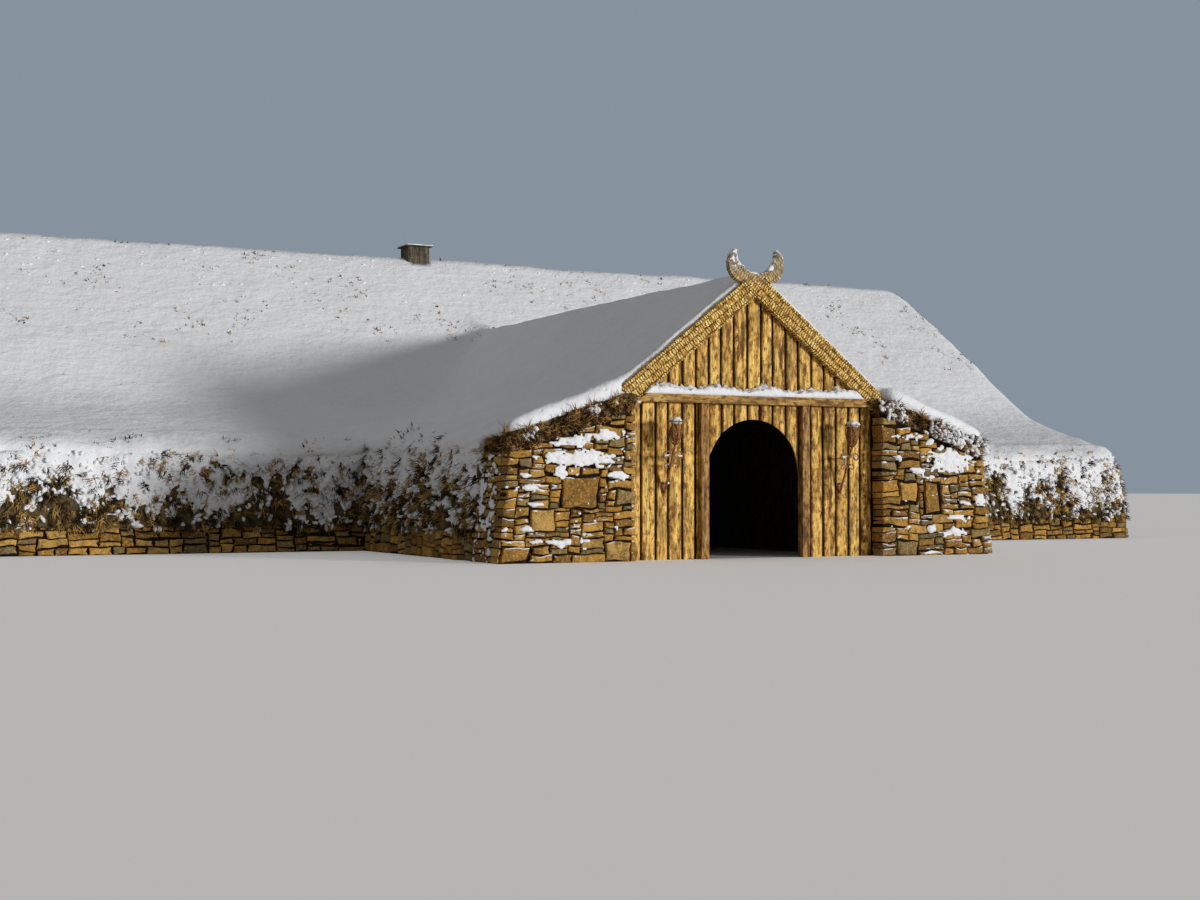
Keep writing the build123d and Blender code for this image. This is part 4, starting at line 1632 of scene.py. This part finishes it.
for hand, where, patches in ((-1, "left", patches_left), (1, "right", patches_right)):
    front, side = wing_front_place(hand), wing_side_place(hand)
    blown_snow(f"wing_snow_{where}", front, wing_width, wing_top(porch_inner), front_cover(patches))
    blown_snow(f"wing_side_snow_{where}", side, wing_back_y - wing_front_y, 1.9, side_cover)

# %% [markdown]
# The torches are forged work: a basket of eight bent bars and three hoops on a
# stem that leans out from a pointed plate, with scrolls where an arm meets it.
# Each bar is a smooth curve with a round section that is turned into a mesh.

# %% The torches
def forged(bm, points, thick, closed=False):
    """Adds a round bar along a smooth curve."""
    curve = bpy.data.curves.new("bar", "CURVE")
    curve.dimensions = "3D"
    curve.bevel_depth = thick / 2
    curve.bevel_resolution = 1
    curve.resolution_u = 4
    curve.use_fill_caps = not closed
    line = curve.splines.new("NURBS")
    line.points.add(len(points) - 1)
    for point, at in zip(line.points, points):
        point.co = (*at, 1.0)
    line.order_u = 3
    line.use_endpoint_u = not closed
    line.use_cyclic_u = closed
    bar = bpy.data.objects.new("bar", curve)
    scene.collection.objects.link(bar)
    mesh = applied(bar)
    bm.from_mesh(mesh)
    bpy.data.objects.remove(bar)
    bpy.data.meshes.remove(mesh)


torch_x = 1.74
head_y = front_face - 0.4
stem_foot, stem_top = 1.1, 1.9
bar_thick, stem_thick, arm_thick = 0.017, 0.042, 0.018
bar_shape = ((0.02, 1.895), (0.05, 1.905), (0.085, 1.99), (0.118, 2.11), (0.118, 2.22), (0.128, 2.3))
hoop_places = ((0.055, 1.92), (0.117, 2.1), (0.122, 2.27))
plate_outline = ((0, -0.15), (0.05, 0.0), (0.03, 0.15), (-0.03, 0.15), (-0.05, 0.0))


def raised(z):
    return Vector((0, 0, z))


def hoop(bm, middle, radius):
    ring = []
    for number in range(12):
        turn = math.tau * number / 12
        ring.append(middle + Vector((radius * math.cos(turn), radius * math.sin(turn), 0)))
    forged(bm, ring, bar_thick, closed=True)


def scroll(bm, start, hand, size, thick):
    """A flat curl that leaves the stem sideways and turns in on itself."""
    points = []
    for number in range(15):
        angle = 0.45 * number
        radius = size * (1.0 - number / 17)
        sideways = size + 0.02 - radius * math.cos(angle)
        points.append(start + Vector((hand * sideways, 0.0, radius * math.sin(angle))))
    forged(bm, points, thick)


def torch(bm, hand):
    head = Vector((hand * torch_x, head_y, 0.0))
    for number in range(8):
        turn = math.tau * number / 8
        out = Vector((math.cos(turn), math.sin(turn), 0.0))
        forged(bm, [head + out * radius + raised(z) for radius, z in bar_shape], bar_thick)
    for radius, z in hoop_places:
        hoop(bm, head + raised(z), radius)
    foot = Vector((hand * torch_x, front_face - 0.03, stem_foot))
    forged(bm, [foot, foot.lerp(head + raised(stem_top), 0.5), head + raised(stem_top + 0.01)], stem_thick)
    arm = foot.lerp(head + raised(stem_top), 0.76)
    forged(bm, [arm, arm + Vector((0, 0.1, 0.02)), Vector((arm.x, front_face + 0.01, arm.z))], arm_thick)
    for side in (-1, 1):
        scroll(bm, arm + Vector((0, -0.012, 0)), side, 0.1, 0.022)
        scroll(bm, arm + Vector((0, 0.05, -0.17)), side, 0.07, 0.019)


irons = bmesh.new()
for hand in (-1, 1):
    torch(irons, hand)
show("torch_irons", irons, iron, ["torch_baskets", "torch_stems"])

foot_plates = bmesh.new()
for hand in (-1, 1):
    face = foot_plates.faces.new([
        foot_plates.verts.new((hand * torch_x + x, front_face - 0.012, 1.13 + z)) for x, z in plate_outline
    ])
    made = bmesh.ops.extrude_face_region(foot_plates, geom=[face])["geom"]
    bmesh.ops.translate(foot_plates, verts=points_of(made), vec=(0, 0.014, 0))
wear_edges(foot_plates, foot_plates.edges[:], 0.002)
face_outwards(foot_plates)
show("torch_plates", foot_plates, iron, sharp=30)

# %% [markdown]
# Burnt wood lies in the baskets, a cap of snow on it, and smaller bits of snow on
# the scrolls and the plates. Each starts as a ball of small triangles that noise
# pushes into lumps.

# %% What lies in the baskets
snow_on_irons = (
    (-0.12, -0.3, 1.72, 0.03), (0.13, -0.3, 1.71, 0.028), (0.0, -0.2, 1.72, 0.026),
    (-0.06, -0.22, 1.57, 0.02), (0.07, -0.22, 1.56, 0.018), (0.02, -0.07, 1.27, 0.03),
)
fuel, caps = bmesh.new(), bmesh.new()
for hand in (-1, 1):
    lumpy_ball(fuel, (hand * torch_x, head_y, 2.1), (0.095, 0.095, 0.16), 0.25, 0.06)
    lumpy_ball(caps, (hand * torch_x + 0.01, head_y, 2.285), (0.11, 0.105, 0.055), 0.45, 0.07)
    for x, y, z, size in snow_on_irons:
        middle = (hand * torch_x + x, front_face + y, z)
        lumpy_ball(caps, middle, (1.6 * size, size, 0.8 * size), 0.7, 0.025, 2)
show("torch_fuel", fuel, iron)
show("torch_snow", caps, snow)

# %% [markdown]
# The smoke vent is a shaft of weathered boards under a flat lid, with a little
# snow left on the lid. The boards stand on a copy of the CAD shaft.

# %% The smoke vent
vent_rise, vent_sunk = 0.4, 0.3
vent_gap = 0.006


def vent():
    bm = cad_copy("smoke_vent_shaft")
    draw = random.Random(3)
    side, top, low = vent_half, hall_ridge_height + vent_rise, hall_ridge_height - vent_sunk
    for turn in range(4):
        quarter = Matrix.Rotation(turn * math.pi / 2, 3, "Z")
        for number in range(4):
            left = -side + number * 2 * side / 4 + vent_gap
            right = left + 2 * side / 4 - 2 * vent_gap
            part = bmesh.new()
            plank(part, left, right, level(low), level(top - 0.004), -side - 0.012, 0.014, draw)
            bmesh.ops.rotate(part, verts=part.verts, cent=(0, 0, 0), matrix=quarter)
            bmesh.ops.translate(part, verts=part.verts, vec=(*vent_middle, 0))
            add_part(bm, part)
    tone_parts(bm, draw)
    show("vent_shaft", bm, vent_wood, ["smoke_vent_shaft"], sharp=30)
    lid = cad_copy("smoke_vent_lid")
    for vert in lid.verts:
        if vert.co.z > top + 0.03:
            vert.co.z -= 0.03
    bmesh.ops.dissolve_limit(lid, angle_limit=0.02, verts=lid.verts, edges=lid.edges)
    wear_edges(lid, lid.edges[:], 0.006)
    show("vent_lid", lid, vent_wood, ["smoke_vent_lid"], sharp=30)

    def lid_snow_top(x, y):
        return top + 0.048 + 0.012 * ripple((x, y, 0), 0.2)

    x, y = vent_middle
    reach = 0.335
    cap = lay_snow((x - reach, y - reach), (x + reach, y + reach), 0.04, level(True),
                   level(top + 0.025), lid_snow_top, level(0.01), level(0.0))
    show("vent_snow", cap, snow)


vent()

# %% [markdown]
# Small clods of crusted snow lie on the roof below the ridge, where it slid.

# %% Clods on the roof
clod_count = 360


def clods():
    draw = random.Random(77)
    bm = bmesh.new()
    for _ in range(clod_count):
        x = draw.uniform(-13.2, 13.2)
        away = abs(draw.gauss(0.0, 0.9)) + 0.25
        y = hall_ridge_y + draw.choice((-1, -1, 1)) * away
        if from_vent(x, y) < 0.5 or away > 4.5:
            continue
        size = draw.uniform(0.012, 0.04)
        z = snowy_roof(x, y)
        lumpy_ball(bm, (x, y, z), (size * draw.uniform(1, 1.8), size, 0.6 * size), 0.5, 0.05, 1)
    show("roof_clods", bm, snow)


clods()

# %% [markdown]
# The roofs and the inner timbers keep their CAD shapes. The roof turf takes the
# turf finish, and each timber the old dark wood with its grain along its length.

# %% Finishes of the pieces that stay as CAD
kept = {
    turf: ["hall_roof_front", "hall_roof_back", "porch_roof_left", "porch_roof_right"],
    inner_wood: ["hall_tie_beams", "hall_rafters", "porch_plates", "porch_ridge_beam"],
    inner_wood_long: ["hall_purlins", "hall_ridge_beam", "porch_rafters"],
    inner_wood_up: ["hall_posts", "hall_king_posts", "porch_linings"],
}
for material, nodes in kept.items():
    for node in nodes:
        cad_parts[node].material_slots[0].material = material
print("CAD nodes kept", sum(len(nodes) for nodes in kept.values()))

# %% [markdown]
# The photograph was taken from the left, low over the ground, looking a little
# up. The camera stands there. A soft white sun lamp at the front right, low where
# the photograph's light comes from, shapes the planks and stones, and a white
# world fills the shade. The floor is plain and pale, a little brighter for the
# camera alone, and isn't part of the house.

# %% Floor, light and camera
def within(look, value, low, high):
    """1 where a value lies between two others."""
    above, below = look.maths("GREATER_THAN", value, low), look.maths("LESS_THAN", value, high)
    return look.maths("MULTIPLY", above, below)


def pale_floor():
    """A matt floor that the camera alone sees a little brighter, outside the house."""
    look = Finish("floor", 0.9, 0.1)
    look.colour((0.88, 0.86, 0.84, 1.0))
    place = look.add("ShaderNodeSeparateXYZ", Vector=look.place)
    x, y, hall_y = place.outputs["X"], place.outputs["Y"], hall_front_y + 0.9
    in_hall = look.maths("MULTIPLY", within(look, x, -13.8, 13.8), within(look, y, hall_y, 10.9))
    in_porch = look.maths("MULTIPLY", within(look, x, -3.0, 3.0), within(look, y, planks_y, hall_y))
    camera_ray = look.add("ShaderNodeLightPath").outputs["Is Camera Ray"]
    outside = look.maths("SUBTRACT", 1.0, look.maths("MAXIMUM", in_hall, in_porch))
    look.shader.inputs["Emission Color"].default_value = (floor_glow, floor_glow, floor_glow, 1.0)
    look.feed(look.shader.inputs["Emission Strength"], look.maths("MULTIPLY", camera_ray, outside))
    return look.material


floor_glow = 0.16
floor_reach = 400.0
ground = bmesh.new()
bmesh.ops.create_grid(ground, x_segments=1, y_segments=1, size=floor_reach)
floor = bpy.data.objects.new("floor", mesh_of(ground, "floor"))
floor.data.materials.append(pale_floor())
scene.collection.objects.link(floor)

fill_strength = 0.26
backdrop = (0.24, 0.29, 0.34)
world = bpy.data.worlds.new("studio")
scene.world = world
world.use_nodes = True
sky = world.node_tree
fill = sky.nodes["Background"]
fill.inputs["Color"].default_value = (1.0, 1.0, 1.0, 1.0)
fill.inputs["Strength"].default_value = fill_strength
seen = sky.nodes.new("ShaderNodeBackground")
seen.inputs["Color"].default_value = (*backdrop, 1.0)
path = sky.nodes.new("ShaderNodeLightPath")
sees = path.outputs["Is Camera Ray"]
for ray in ("Is Glossy Ray", "Is Transmission Ray"):
    either = sky.nodes.new("ShaderNodeMath")
    either.operation = "MAXIMUM"
    sky.links.new(sees, either.inputs[0])
    sky.links.new(path.outputs[ray], either.inputs[1])
    sees = either.outputs[0]
choose = sky.nodes.new("ShaderNodeMixShader")
sky.links.new(sees, choose.inputs[0])
sky.links.new(fill.outputs[0], choose.inputs[1])
sky.links.new(seen.outputs[0], choose.inputs[2])
sky.links.new(choose.outputs[0], sky.nodes["World Output"].inputs["Surface"])

sun_strength = 2.7
sun_width = math.radians(9)
sun_direction = Vector((-0.55, 0.83, -0.1))
lamp = bpy.data.lights.new("key", "SUN")
lamp.energy = sun_strength
lamp.angle = sun_width
key = bpy.data.objects.new("key", lamp)
key.rotation_euler = sun_direction.to_track_quat("-Z", "Y").to_euler()
scene.collection.objects.link(key)

camera_place = (-15.107, -35.8525, 1.1518)
looks_up = math.radians(1.36)
looks_right = math.radians(26.43)
eye = bpy.data.cameras.new("camera")
eye.sensor_width = 36.0
eye.lens = 50.7
eye.clip_end = 1000.0
camera = bpy.data.objects.new("camera", eye)
camera.location = camera_place
camera.rotation_euler = (math.radians(90) + looks_up, 0.0, -looks_right)
scene.collection.objects.link(camera)
scene.camera = camera
scene.view_settings.view_transform = "Standard"
print("sun", sun_strength, "fill", fill_strength, "camera at", camera_place)
